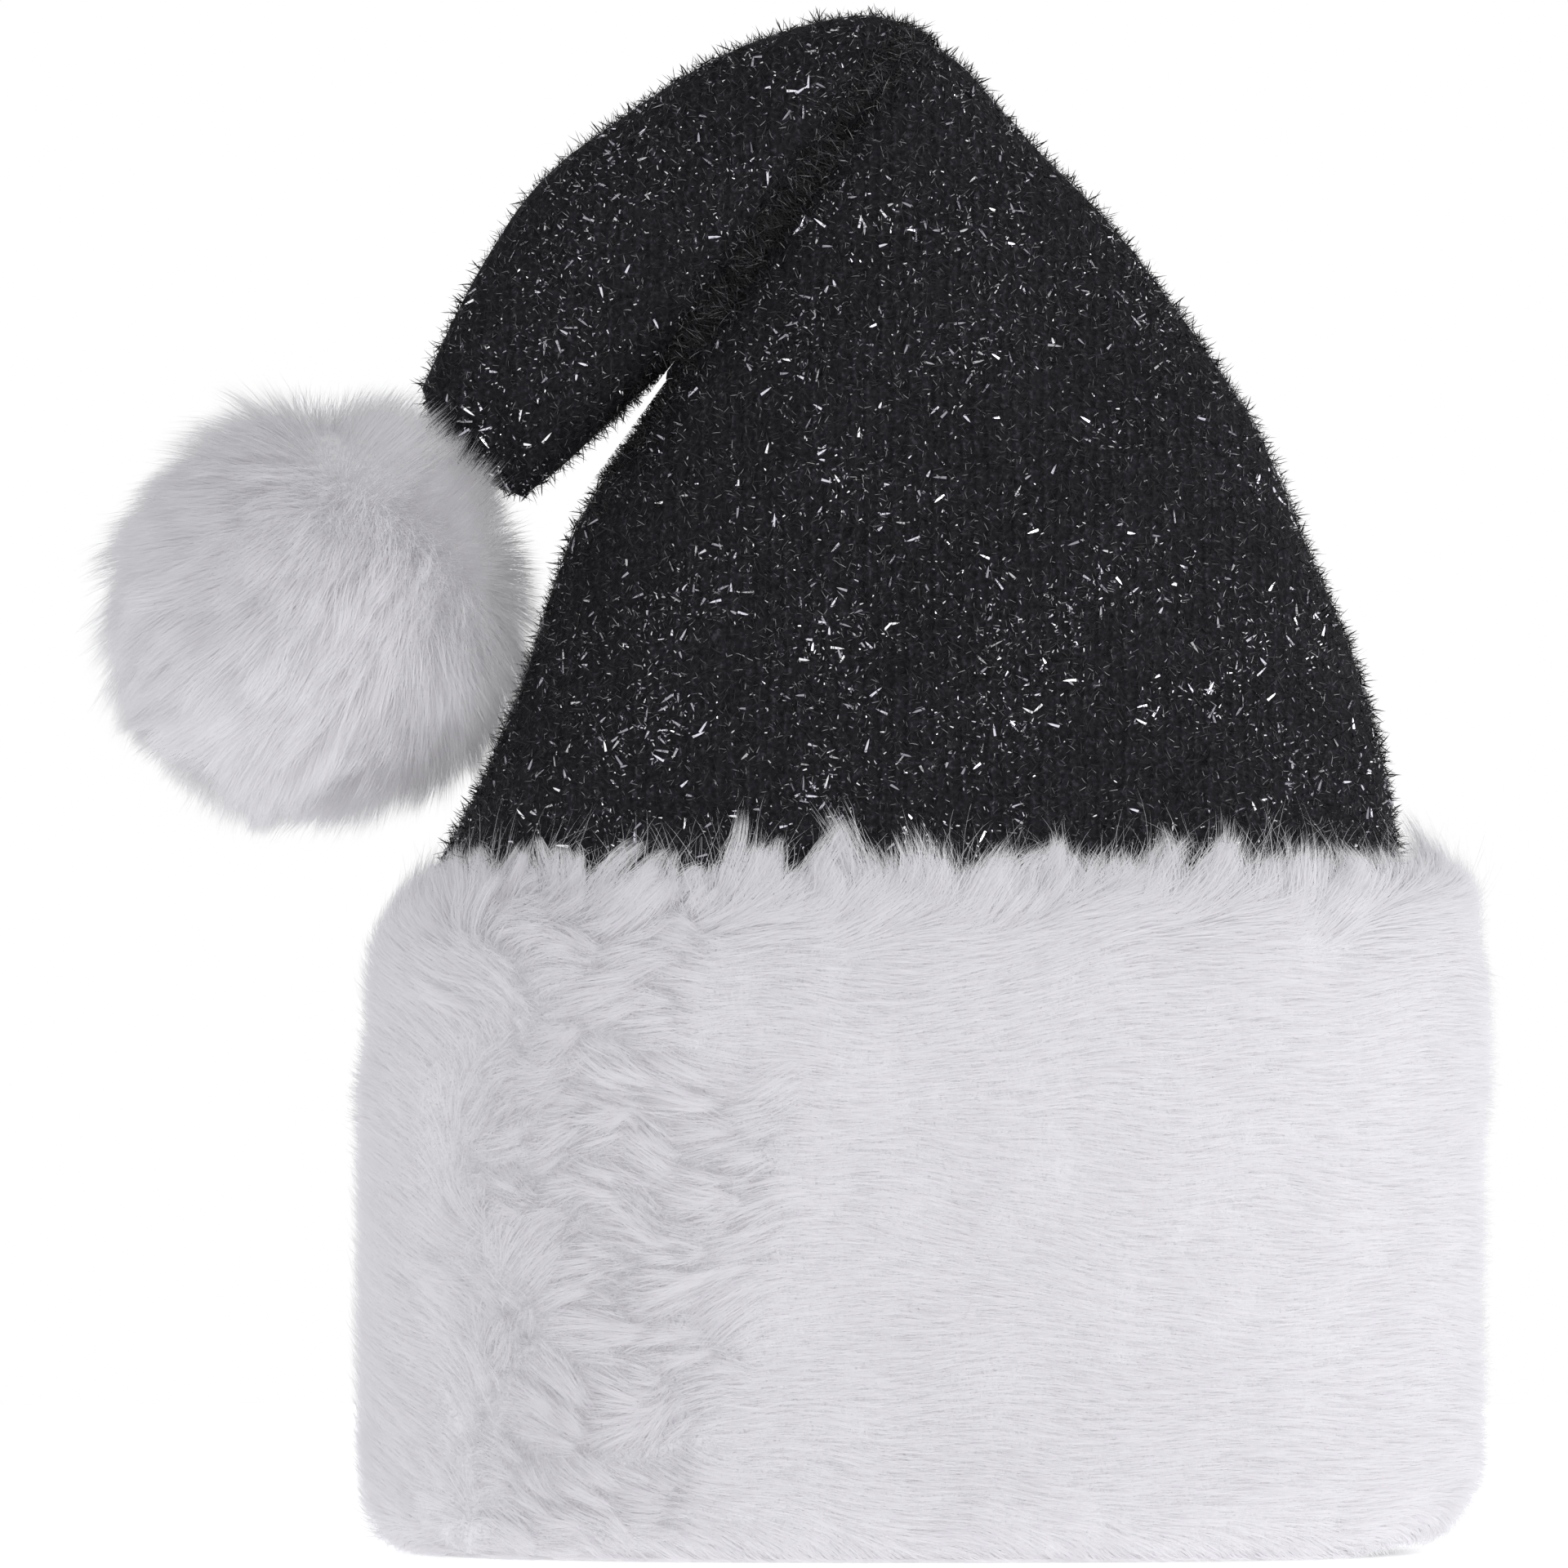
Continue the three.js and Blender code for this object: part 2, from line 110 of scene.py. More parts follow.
def unit(v):
    """v with its vectors scaled to length 1."""
    return v / np.maximum(np.linalg.norm(v, axis=-1, keepdims=True), 1e-9)


def smoothstep(t):
    t = np.clip(t, 0.0, 1.0)
    return t * t * (3 - 2 * t)


def mix(a, b, share):
    return a + (b - a) * share


def spline(points, count):
    """A Catmull-Rom curve through the points, cut into count points an equal length apart."""
    p = np.array(points, float)
    p = np.vstack([2 * p[0] - p[1], p, 2 * p[-1] - p[-2]])
    t = np.linspace(0, 1, 40, endpoint=False)[:, None]
    parts = []
    for a, b, c, d in zip(p[:-3], p[1:-2], p[2:-1], p[3:]):
        parts.append(b + 0.5 * t * (c - a + t * (2 * a - 5 * b + 4 * c - d + t * (3 * (b - c) + d - a))))
    fine = np.vstack(parts + [p[-2][None]])
    lengths = np.concatenate([[0], np.cumsum(np.linalg.norm(np.diff(fine, axis=0), axis=1))])
    at = np.linspace(0, lengths[-1], count)
    return np.stack([np.interp(at, lengths, fine[:, k]) for k in range(fine.shape[1])], 1)


def waves(seed, wavelength, count=14):
    """A smooth random field, about -1 to 1, made of plane waves of roughly this wavelength."""
    r = np.random.default_rng(seed)
    direction = unit(r.normal(size=(count, 3)))
    k = direction * (2 * math.pi / (wavelength * r.uniform(0.7, 1.6, (count, 1))))
    phase = r.uniform(0, 2 * math.pi, count)
    return lambda p: np.sin(p @ k.T + phase).sum(-1) * (1.6 / count ** 0.5 / 1.4)


def rotated(v, axis, angle):
    """v turned about axis by angle, all arrays of the same length."""
    c, s = np.cos(angle)[..., None], np.sin(angle)[..., None]
    along = (v * axis).sum(-1, keepdims=True)
    return v * c + np.cross(axis, v) * s + axis * along * (1 - c)


# ---------------------------------------------------------------- meshes


def new_mesh(name, vertices_mm, polygons, sizes):
    """A mesh object from vertices in hat millimetres and a flat list of polygon corners."""
    me = bpy.data.meshes.new(name)
    co = np.asarray(vertices_mm, float).reshape(-1, 3) * MM
    co[:, 0] += OPENING_X * MM
    me.vertices.add(len(co))
    me.vertices.foreach_set("co", co.astype(np.float32).ravel())
    me.loops.add(len(polygons))
    me.loops.foreach_set("vertex_index", polygons.astype(np.int32))
    me.polygons.add(len(sizes))
    starts = np.concatenate([[0], np.cumsum(sizes)[:-1]])
    me.polygons.foreach_set("loop_start", starts.astype(np.int32))
    me.polygons.foreach_set("use_smooth", np.full(len(sizes), True))
    me.update(calc_edges=True)
    ob = bpy.data.objects.new(name, me)
    bpy.context.scene.collection.objects.link(ob)
    return ob


def grid_mesh(name, grid):
    """A tube from a (rows, columns, 3) grid. Its last column is joined to its first."""
    rows, columns = grid.shape[:2]
    r, c = np.meshgrid(np.arange(rows - 1), np.arange(columns), indexing="ij")
    d = (c + 1) % columns
    quads = np.stack([r * columns + c, (r + 1) * columns + c, (r + 1) * columns + d, r * columns + d], -1)
    quads = quads.reshape(-1, 4)
    return new_mesh(name, grid, quads.ravel(), np.full(len(quads), 4))


def ribbon_corners(paths, half_width, facing, taper):
    """A pair of corners at each point of a path, and one at its tip."""
    count, points = paths.shape[:2]
    side = unit(np.cross(np.gradient(paths, axis=1), facing[:, None, :]))
    share = np.linspace(0, 1, points)[None, :, None]
    reach = half_width[:, None, None] * (1 - (1 - taper) * share)
    pairs = np.stack([paths - side * reach, paths + side * reach], 2)[:, :-1]
    return np.concatenate([pairs.reshape(count, -1, 3), paths[:, -1:]], 1)


def ribbon_mesh(name, paths, half_width, facing, taper, kinds, materials, bent=None):
    """Fibres as narrow ribbons. paths is (fibres, points, 3). Each ends in one point, and its flat side
    faces the way that facing says. kinds picks each fibre's material, and bent reshapes the ribbons."""
    count, points = paths.shape[:2]
    corners = ribbon_corners(paths, half_width, facing, taper)
    if bent is not None:
        corners = bent(corners)
    per = corners.shape[1]
    base = np.arange(count)[:, None, None] * per
    step = 2 * np.arange(points - 2)[None, :, None]
    quads = base + step + np.array([0, 1, 3, 2])[None, None, :]
    tips = base[:, 0] + per - 3 + np.array([0, 1, 2])[None, :]
    loops = np.concatenate([quads.reshape(count, -1), tips], 1).ravel()
    sizes = np.tile(np.array([4] * (points - 2) + [3]), count)
    ob = new_mesh(name, corners, loops, sizes)
    along = np.concatenate([np.repeat(np.linspace(0, 1, points)[:-1], 2), [1.0]])
    attribute = ob.data.attributes.new("along", "FLOAT", "POINT")
    attribute.data.foreach_set("value", np.tile(along, count).astype(np.float32))
    tint = ob.data.attributes.new("tint", "FLOAT", "POINT")
    tint.data.foreach_set("value", np.repeat(rng.uniform(0, 1, count), per).astype(np.float32))
    for m in materials:
        ob.data.materials.append(m)
    if kinds is not None:
        ob.data.polygons.foreach_set("material_index", np.repeat(kinds, points - 1).astype(np.int32))
    return ob


# ---------------------------------------------------------------- materials


class Nodes:
    """Short helpers for a material's node tree."""

    def __init__(self, name):
        self.material = bpy.data.materials.new(name)
        self.material.use_nodes = True
        self.tree = self.material.node_tree
        self.surface = self.tree.nodes["Principled BSDF"]

    def add(self, kind, **values):
        node = self.tree.nodes.new(kind)
        for key, value in values.items():
            if key in node.inputs:
                node.inputs[key].default_value = value
            else:
                setattr(node, key, value)
        return node

    def link(self, output, target):
        self.tree.links.new(output, target)

    def place(self, *scale):
        """Object coordinates, scaled in metres."""
        where = self.add("ShaderNodeTexCoord")
        mapping = self.add("ShaderNodeMapping")
        mapping.inputs["Scale"].default_value = scale if len(scale) == 3 else scale * 3
        self.link(where.outputs["Object"], mapping.inputs["Vector"])
        return mapping.outputs["Vector"]

    def noise(self, scale, detail=2.0, vector=None):
        node = self.add("ShaderNodeTexNoise", Scale=scale, Detail=detail)
        self.link(vector or self.place(1.0), node.inputs["Vector"])
        return node.outputs["Fac"]

    def attribute(self, name):
        return self.add("ShaderNodeAttribute", attribute_name=name).outputs["Fac"]

    def ramp(self, factor, *stops):
        node = self.add("ShaderNodeValToRGB")
        ramp = node.color_ramp
        while len(ramp.elements) < len(stops):
            ramp.elements.new(0.5)
        for element, (position, colour) in zip(ramp.elements, stops):
            element.position = position
            element.color = (*colour, 1.0)
        self.link(factor, node.inputs["Fac"])
        return node.outputs["Color"]

    def scaled(self, factor, low, high, top=1.0):
        """factor from 0 to top, turned into low to high."""
        node = self.add("ShaderNodeMapRange")
        node.inputs["From Max"].default_value = top
        node.inputs["To Min"].default_value = low
        node.inputs["To Max"].default_value = high
        self.link(factor, node.inputs["Value"])
        return node.outputs["Result"]

    def sum(self, a, b, operation="ADD"):
        node = self.add("ShaderNodeMath", operation=operation)
        self.link(a, node.inputs[0])
        self.link(b, node.inputs[1])
        return node.outputs[0]

    def bump(self, height, distance, strength=1.0):
        node = self.add("ShaderNodeBump", Strength=strength, Distance=distance)
        self.link(height, node.inputs["Height"])
        self.link(node.outputs["Normal"], self.surface.inputs["Normal"])


def grey(value, blue=1.0):
    return (value, value * (1 - 0.3 * (blue - 1)), value * blue)


# FUR_SHADE is the darker end of the fibres' colour. It gives painted shade towards the roots, and darker
# fibres at random.
FUR_SHADE = (0.80, 0.788, 0.812)
FUR_LIGHT = (0.885, 0.877, 0.893)
UNDERCOAT_SHADE = (0.76, 0.748, 0.772)
FUR_SEE_THROUGH = 0.35
# Painted glow: even emission over the fur, the undercoat's included, which lightens the shade between
# fibres.
CUFF_PAINTED_GLOW = 0.12
POMPOM_PAINTED_GLOW = 0.13
UNDERCOAT_PAINTED_GLOW = 0.05


def fur_material(name, painted_glow):
    """White fur. Its emission is a painted glow over every fibre, which stands in for light that wanders
    through the pile and comes out again all over. It lifts the shade between fibres.
    """
    m = Nodes(name)
    # Fibres are painted darker towards their roots, as painted shade deep in the pile. They also vary in
    # tone at random by tint and noise.
    mixed = m.sum(m.attribute("along"), m.attribute("tint"))
    shade = m.scaled(m.sum(mixed, m.noise(40.0, 3.0)), 0.0, 1.0, top=2.2)
    colour = m.ramp(shade, (0.15, FUR_SHADE), (0.75, FUR_LIGHT))
    m.link(colour, m.surface.inputs["Base Color"])
    m.link(m.scaled(shade, 0.45, 0.65), m.surface.inputs["Roughness"])
    m.surface.inputs["Sheen Weight"].default_value = 0.25
    m.surface.inputs["Sheen Roughness"].default_value = 0.4
    # Painted glow in the fur's own white.
    m.surface.inputs["Emission Color"].default_value = (*FUR_LIGHT, 1)
    m.surface.inputs["Emission Strength"].default_value = painted_glow
    through = m.add("ShaderNodeBsdfTranslucent")
    m.link(colour, through.inputs["Color"])
    both = m.add("ShaderNodeMixShader", Fac=FUR_SEE_THROUGH)
    m.link(m.surface.outputs["BSDF"], both.inputs[1])
    m.link(through.outputs["BSDF"], both.inputs[2])
    m.link(both.outputs["Shader"], m.tree.nodes["Material Output"].inputs["Surface"])
    return m.material


def undercoat_material():
    m = Nodes("fur_undercoat")
    tangle = m.ramp(m.noise(220.0, 4.0), (0.3, UNDERCOAT_SHADE), (0.7, FUR_LIGHT))
    m.link(tangle, m.surface.inputs["Base Color"])
    matted = m.noise(700.0, 3.0)
    m.link(m.scaled(matted, 0.8, 0.95), m.surface.inputs["Roughness"])
    # Painted glow that lightens the shade seen in the gaps between the fibres.
    m.surface.inputs["Emission Color"].default_value = (*FUR_LIGHT, 1)
    m.surface.inputs["Emission Strength"].default_value = UNDERCOAT_PAINTED_GLOW
    m.bump(matted, 0.0015)
    return m.material


def knit_material():
    m = Nodes("tinsel_knit_ground")
    fuzz = m.noise(900.0, 4.0)
    ribs = m.add("ShaderNodeTexWave", Scale=95.0, Distortion=3.0, bands_direction="X")
    m.link(m.place(1.0), ribs.inputs["Vector"])
    ribbed = m.sum(fuzz, m.scaled(ribs.outputs["Fac"], -0.035, 0.035))
    stops = (0.3, grey(0.008, 1.15)), (0.58, grey(0.022, 1.15)), (0.8, grey(0.08, 1.1))
    m.link(m.ramp(ribbed, *stops), m.surface.inputs["Base Color"])
    m.link(m.scaled(fuzz, 0.75, 0.95), m.surface.inputs["Roughness"])
    m.surface.inputs["Specular IOR Level"].default_value = 0.12
    m.bump(m.sum(fuzz, ribs.outputs["Fac"]), 0.0008)
    return m.material


def tinsel_material(name, level, dullest, metallic, roughness):
    m = Nodes(name)
    dull, middling = grey(level * dullest, 1.1), grey(level * mix(dullest, 1, 0.3), 1.07)
    tinted = m.ramp(m.attribute("tint"), (0.0, dull), (0.6, middling), (1.0, grey(level)))
    m.link(tinted, m.surface.inputs["Base Color"])
    m.surface.inputs["Specular IOR Level"].default_value = 0.2 if metallic == 0 else 0.5
    m.surface.inputs["Metallic"].default_value = metallic
    m.link(m.scaled(m.attribute("tint"), 0.8 * roughness, 1.2 * roughness), m.surface.inputs["Roughness"])
    return m.material


def cloth_material(name, low, high, scale, roughness, bump):
    m = Nodes(name)
    weave = m.noise(scale, 3.0)
    m.link(m.ramp(weave, (0.3, low), (0.7, high)), m.surface.inputs["Base Color"])
    m.link(m.scaled(weave, roughness - 0.08, roughness + 0.08), m.surface.inputs["Roughness"])
    threads = m.add("ShaderNodeTexWave", Scale=scale * 0.6, Distortion=1.0, bands_direction="DIAGONAL")
    m.link(m.place(1.0), threads.inputs["Vector"])
    m.bump(m.sum(weave, threads.outputs["Fac"]), bump)
    return m.material


# ---------------------------------------------------------------- cloth of the crown and the tail

crease_along = unit(CREASE_INNER - CREASE_APEX)
crease_across = np.array([crease_along[1], -crease_along[0]])  # towards the tail


def crease_place(xz):
    """Distance down the crease from the pivot, and distance across it towards the tail."""
    from_pivot = xz - FOLD_PIVOT
    return from_pivot @ crease_along, from_pivot @ crease_across


def fold_share(across):
    return smoothstep((across + FOLD_HALF_ZONE) / (2 * FOLD_HALF_ZONE))


def unfolded(points):
    """Where points of the rest shape go when the tail is lifted to the end of its range."""
    _, across = crease_place(points[..., [0, 2]])
    turn = fold_share(across) * FOLD_ANGLE
    x, z = points[..., 0] - FOLD_PIVOT[0], points[..., 2] - FOLD_PIVOT[1]
    out = points.copy()
    out[..., 0] = FOLD_PIVOT[0] + x * np.cos(turn) + z * np.sin(turn)
    out[..., 2] = FOLD_PIVOT[1] - x * np.sin(turn) + z * np.cos(turn)
    return out


def folded(points):
    """The way back from unfolded(), for points near the cloth."""
    along, across = crease_place(points[..., [0, 2]])
    radius = np.hypot(along, across)
    bearing = np.arctan2(across, along)
    bearing = np.where(bearing < -math.pi / 2, bearing + 2 * math.pi, bearing)
    low = -np.minimum(radius, 200.0)
    high = np.minimum(radius, 200.0)
    for _ in range(28):
        middle = (low + high) / 2
        reached = np.arcsin(np.clip(middle / np.maximum(radius, 1e-6), -1, 1))
        reached = reached + fold_share(middle) * FOLD_ANGLE
        beyond = reached > bearing
        high = np.where(beyond, middle, high)
        low = np.where(beyond, low, middle)
    turn = -fold_share((low + high) / 2) * FOLD_ANGLE
    x, z = points[..., 0] - FOLD_PIVOT[0], points[..., 2] - FOLD_PIVOT[1]
    out = points.copy()
    out[..., 0] = FOLD_PIVOT[0] + x * np.cos(turn) + z * np.sin(turn)
    out[..., 2] = FOLD_PIVOT[1] - x * np.sin(turn) + z * np.cos(turn)
    return out


# A cross-section of the cloth is an inner and an outer point (X and Z), a half depth and a squareness.

TO_CROWN = -FOLD_HALF_ZONE * crease_across
TO_TAIL = FOLD_HALF_ZONE * crease_across
CREASE_SECTION = CREASE_HALF_DEPTH, CREASE_SQUARENESS


def tapering_rows(inner, outer, start, end):
    """Cross-sections between two edge curves, with half depth and squareness going from start to end."""
    start, end = np.array(start), np.array(end)
    shares = np.linspace(0, 1, len(inner))
    return [(a, b, *mix(start, end, share)) for a, b, share in zip(inner, outer, shares)]


def brim_rows():
    shell = SHELL_HALF_DEPTH, SHELL_SQUARENESS
    heights = np.linspace(BRIM_Z, CUFF_TOP - 8, 12)
    return [([-SHELL_HALF_WIDTH, z], [SHELL_HALF_WIDTH, z], *shell) for z in heights]


def crown_rows():
    left_edge = [[-SHELL_HALF_WIDTH, CUFF_TOP], [-99.5, 208], [-84, 251], [-69.5, 274]]
    right_edge = [[SHELL_HALF_WIDTH, CUFF_TOP], [106.5, 216], [87, 264], [57, 312.5], [26, 347]]
    left = spline(left_edge + [CREASE_INNER + TO_CROWN], 70)
    right = spline(right_edge + [CREASE_APEX + TO_CROWN], 70)
    return tapering_rows(left, right, (SHELL_HALF_DEPTH, SHELL_SQUARENESS), CREASE_SECTION)


def fold_rows():
    """The cloth inside the fold, which opens into a gusset when the tail is lifted."""
    rows = []
    width = np.linalg.norm(CREASE_APEX - CREASE_INNER)
    for share in np.linspace(0, 1, 24)[1:-1]:
        across = FOLD_HALF_ZONE * crease_across * (2 * share - 1)
        turn = fold_share(FOLD_HALF_ZONE * (2 * share - 1))
        reach = width * math.cos(FOLD_ANGLE / 2) / math.cos(FOLD_ANGLE * (turn - 0.5))
        rows.append((CREASE_APEX + crease_along * reach + across, CREASE_APEX + across, *CREASE_SECTION))
    return rows


def tail_rows():
    inner_edge = [[-76, 276.5], [-88, 265.5], TAIL_END_INNER]
    outer_edge = [[-14, 375.5], [-40, 370], [-68, 354], [-92.5, 336.5], [-107, 317], TAIL_END_OUTER]
    inner = spline([CREASE_INNER + TO_TAIL] + inner_edge, 52)
    outer = spline([CREASE_APEX + TO_TAIL] + outer_edge, 52)
    return tapering_rows(inner, outer, CREASE_SECTION, (TAIL_END_HALF_DEPTH, 2.0))


def gathered_rows():
    """The end of the tail, drawn together inside the pom-pom's fur."""
    rows = []
    towards_tail = np.array([math.sin(POMPOM_LEAN), math.cos(POMPOM_LEAN)])
    across_tail = np.array([-towards_tail[1], towards_tail[0]])
    gather = POMPOM_CENTRE[[0, 2]] + towards_tail * GATHER_FROM_CENTRE
    for share in np.linspace(0, 1, 9)[1:]:
        bend = smoothstep(share)
        inner = mix(TAIL_END_INNER, gather - across_tail * GATHER_HALF_WIDTH, bend)
        outer = mix(TAIL_END_OUTER, gather + across_tail * GATHER_HALF_WIDTH, bend)
        rows.append((inner, outer, mix(TAIL_END_HALF_DEPTH, GATHER_HALF_WIDTH, bend), 2.0))
    return rows


def cloth_rows():
    """Cross-sections from the brim to the gathered tip."""
    rows = brim_rows() + crown_rows() + fold_rows() + tail_rows() + gathered_rows()
    return [rounded_apex(*row) for row in rows]


def rounded_apex(inner, outer, depth, squareness):
    """Draws a row's outer end down along the crease where it passes the apex."""
    outer = np.array(outer, float)
    _, across = crease_place(outer)
    near = math.exp(-((across / 9.0) ** 2)) if outer[1] > CREASE_INNER[1] + 30 else 0.0
    return inner, outer + crease_along * 4.0 * near, depth, squareness


CLOTH_COLUMNS = 200
soft_swell = waves(11, 85.0)
small_swell = waves(12, 34.0)
glint_wander = waves(13, 30.0)


def cloth_grid():
    rows = cloth_rows()
    inner = np.array([r[0] for r in rows], float)[:, None]
    outer = np.array([r[1] for r in rows], float)[:, None]
    depth = np.array([r[2] for r in rows], float)[:, None]
    power = 2 / np.array([r[3] for r in rows], float)[:, None]
    angle = np.linspace(0, 2 * math.pi, CLOTH_COLUMNS, endpoint=False)[None]
    across = np.sign(np.cos(angle)) * np.abs(np.cos(angle)) ** power
    deep = np.sign(np.sin(angle)) * np.abs(np.sin(angle)) ** power
    flat = inner + (outer - inner) * ((across + 1) / 2)[..., None]
    grid = np.stack([flat[..., 0], -deep * depth, flat[..., 1]], -1)
    along, beside = crease_place(grid[..., [0, 2]])
    fade = smoothstep(along / 60.0) * smoothstep((grid[..., 2] - CUFF_TOP) / 60.0)
    valley = VALLEY_SAG * np.exp(-((beside / VALLEY_WIDTH) ** 2))
    hollow = HOLLOW_SAG * np.exp(-((beside / HOLLOW_WIDTH) ** 2))
    grid[..., 1] *= 1 - (valley + hollow) * fade
    open_shape = unfolded(grid)
    free = smoothstep((grid[..., 2] - CUFF_TOP) / 25.0)
    normal = grid_normals(open_shape)
    swell = 2.0 * soft_swell(open_shape) + 0.9 * small_swell(open_shape)
    facing = 0.3 + 0.7 * np.abs(deep)  # the outline seen from the front keeps its shape
    open_shape = open_shape + normal * (swell * free * facing)[..., None]
    return folded(open_shape), open_shape


def grid_normals(grid):
    """Outward normals of a wrapped grid whose rows run up and whose columns run round."""
    up = np.gradient(grid, axis=0)
    padded = np.concatenate([grid[:, -1:], grid, grid[:, :1]], 1)
    around = (padded[:, 2:] - padded[:, :-2]) / 2
    normal = unit(np.cross(up, around))
    outward = grid - grid.mean(1, keepdims=True)
    flip = np.sign((normal * outward).sum(-1).mean())
    return normal * flip


def scatter(grid, normals, count, weight=None):
    """Random points of a wrapped grid, spread evenly by area, with their normals and up directions."""
    nxt = np.roll(grid, -1, axis=1)
    up = grid[1:] - grid[:-1]
    side = nxt - grid
    area = np.linalg.norm(np.cross(up, side[:-1]), axis=-1)
    if weight is not None:
        area = area * weight[:-1]
    cells = rng.choice(area.size, count, p=(area / area.sum()).ravel())
    r, c = np.unravel_index(cells, area.shape)
    a, b = rng.uniform(0, 1, (2, count, 1))
    d = (c + 1) % grid.shape[1]

    def blend(g):
        return mix(mix(g[r, c], g[r, d], a), mix(g[r + 1, c], g[r + 1, d], a), b)

    return blend(grid), unit(blend(normals)), unit(up[r, c])


def tinsel_paths(grid, normals, length, stand, weight, bend, points=4):
    """Short fibres that lie on the cloth at random bearings, lifted by stand (radians)."""
    count = len(length)
    root, normal, up = scatter(grid, normals, count, weight)
    bearing = rng.uniform(0, 2 * math.pi, count)
    flat = rotated(up, normal, bearing)
    lift = stand[:, None]
    share = np.linspace(0, 1, points)[None, :, None]
    direction = flat * np.cos(lift) + normal * np.sin(lift)
    side = np.cross(direction, normal)
    curl = rng.normal(0, bend, (count, 1))
    straight = root[:, None] + direction[:, None] * (share * length[:, None, None])
    curved = straight + (side * curl)[:, None] * (share ** 2 * length[:, None, None])
    facing = rotated(normal, direction, rng.normal(0, 0.6, count))
    return curved + normal[:, None] * 0.15, facing


# The fibres on the cloth: count, shortest, longest, half width, steepest stand (radians) and bend.
TINSEL = {
    "tinsel_fuzz": (34000, 1.4, 4.2, 0.11, 1.3, 0.22),
    "tinsel_spikes": (7000, 1.8, 4.6, 0.20, 1.3, 0.16),
    "tinsel_dim": (38000, 0.8, 2.4, 0.09, 1.0, 0.14),
    "tinsel_spark": (15500, 0.4, 1.2, 0.17, 0.7, 0.10),
    "tinsel_dash": (1750, 1.4, 3.6, 0.31, 0.35, 0.04),
}
# Their materials: brightness, share of it in the dullest fibre, metallic and roughness.
TINSEL_LOOKS = {
    "tinsel_fuzz": ("dark_fuzz", 0.035, 0.3, 0.0, 0.7),
    "tinsel_spikes": ("dark_tinsel", 0.03, 0.2, 0.3, 0.6),
    "tinsel_dim": ("dim_tinsel", 0.34, 0.12, 0.9, 0.4),
    "tinsel_spark": ("spark_tinsel", 1.0, 0.25, 1.0, 0.25),
    "tinsel_dash": ("bright_tinsel", 1.0, 0.6, 1.0, 0.16),
}
GLINTING = "tinsel_spark", "tinsel_dash"
FOLD_FUZZ_EACH_SIDE = 2600


def fibre_density(rest, open_shape):
    """How thickly fibres grow over the cloth: the fuzz, and the bright ones that gather in patches."""
    above_cuff = smoothstep((rest[..., 2] - CUFF_TOP + 12) / 10.0)
    _, beside = crease_place(rest[..., [0, 2]])
    in_fold = (np.abs(beside) < FOLD_HALF_ZONE) & (rest[..., 2] > CREASE_INNER[1] - 60)
    sparse = np.where(in_fold, 0.3, 1.0)
    by_fold = np.exp(-((np.abs(beside) - 3.5) / 2.5) ** 2) * (rest[..., 2] > CREASE_INNER[1] - 25)
    hairy = above_cuff * sparse * (1 + 3.0 * by_fold)
    patches = np.clip(1 + 0.8 * glint_wander(open_shape), 0.15, 3)
    glinting = above_cuff * sparse * patches * (1 - 0.5 * by_fold)
    return hairy, glinting


def build_tinsel(name, open_shape, normals, where, material):
    count, shortest, longest, half_width, steepest, bend = TINSEL[name]
    length = rng.uniform(shortest, longest, count)
    stand = rng.uniform(0.0, steepest, count)
    paths, facing = tinsel_paths(open_shape, normals, length, stand, where, bend)
    folded_length = np.linalg.norm(np.diff(folded(paths), axis=1), axis=-1).sum(1)
    whole = folded_length < 1.2 * length + 0.3  # the others would be stretched across the fold
    paths, facing = paths[whole], facing[whole]
    width = np.full(len(paths), half_width)
    return ribbon_mesh(name, paths, width, facing, 0.6, None, [material], folded)


def build_cloth():
    """The cloth with its fibres, the lining inside it, and the fuzz that leans over the fold."""
    rest, open_shape = cloth_grid()
    skin = grid_mesh("tinsel_knit_cloth", rest)
    skin.data.materials.append(knit_material())
    normals = grid_normals(open_shape)
    lining = build_lining(rest)
    looks = {name: tinsel_material(*look) for name, look in TINSEL_LOOKS.items()}
    fold_looks = [looks["tinsel_fuzz"], looks["tinsel_dim"]]
    over_fold = [build_fold_fuzz(rest, normals, side, fold_looks) for side in (-1, 1)]
    hairy, glinting = fibre_density(rest, open_shape)
    pieces = [skin]
    for name in TINSEL:
        where = glinting if name in GLINTING else hairy
        pieces.append(build_tinsel(name, open_shape, normals, where, looks[name]))
    return pieces, lining, over_fold


LINING_INSET = 3.4


def build_lining(rest):
    """The lining: the crown's rows below the fold, drawn in from the cloth."""
    _, beside = crease_place(rest[..., [0, 2]])
    rows = np.flatnonzero(beside.max(1) < -FOLD_HALF_ZONE - 1.5)
    inner = rest[:rows[-1] + 1]
    middle = inner.mean(1, keepdims=True)
    away = inner - middle
    flat = 1 - LINING_INSET / np.linalg.norm(away[..., [0, 2]], axis=-1).max(1)[:, None, None]
    deep = 1 - LINING_INSET / np.abs(away[..., 1]).max(1)[:, None, None]
    shrink = np.concatenate([flat, deep, flat], -1)
    lining = grid_mesh("jersey_lining", (middle + away * shrink)[:, ::-1])
    jersey = cloth_material("lining_jersey", grey(0.006), grey(0.02), 900.0, 0.75, 0.0004)
    lining.data.materials.append(jersey)
    return lining


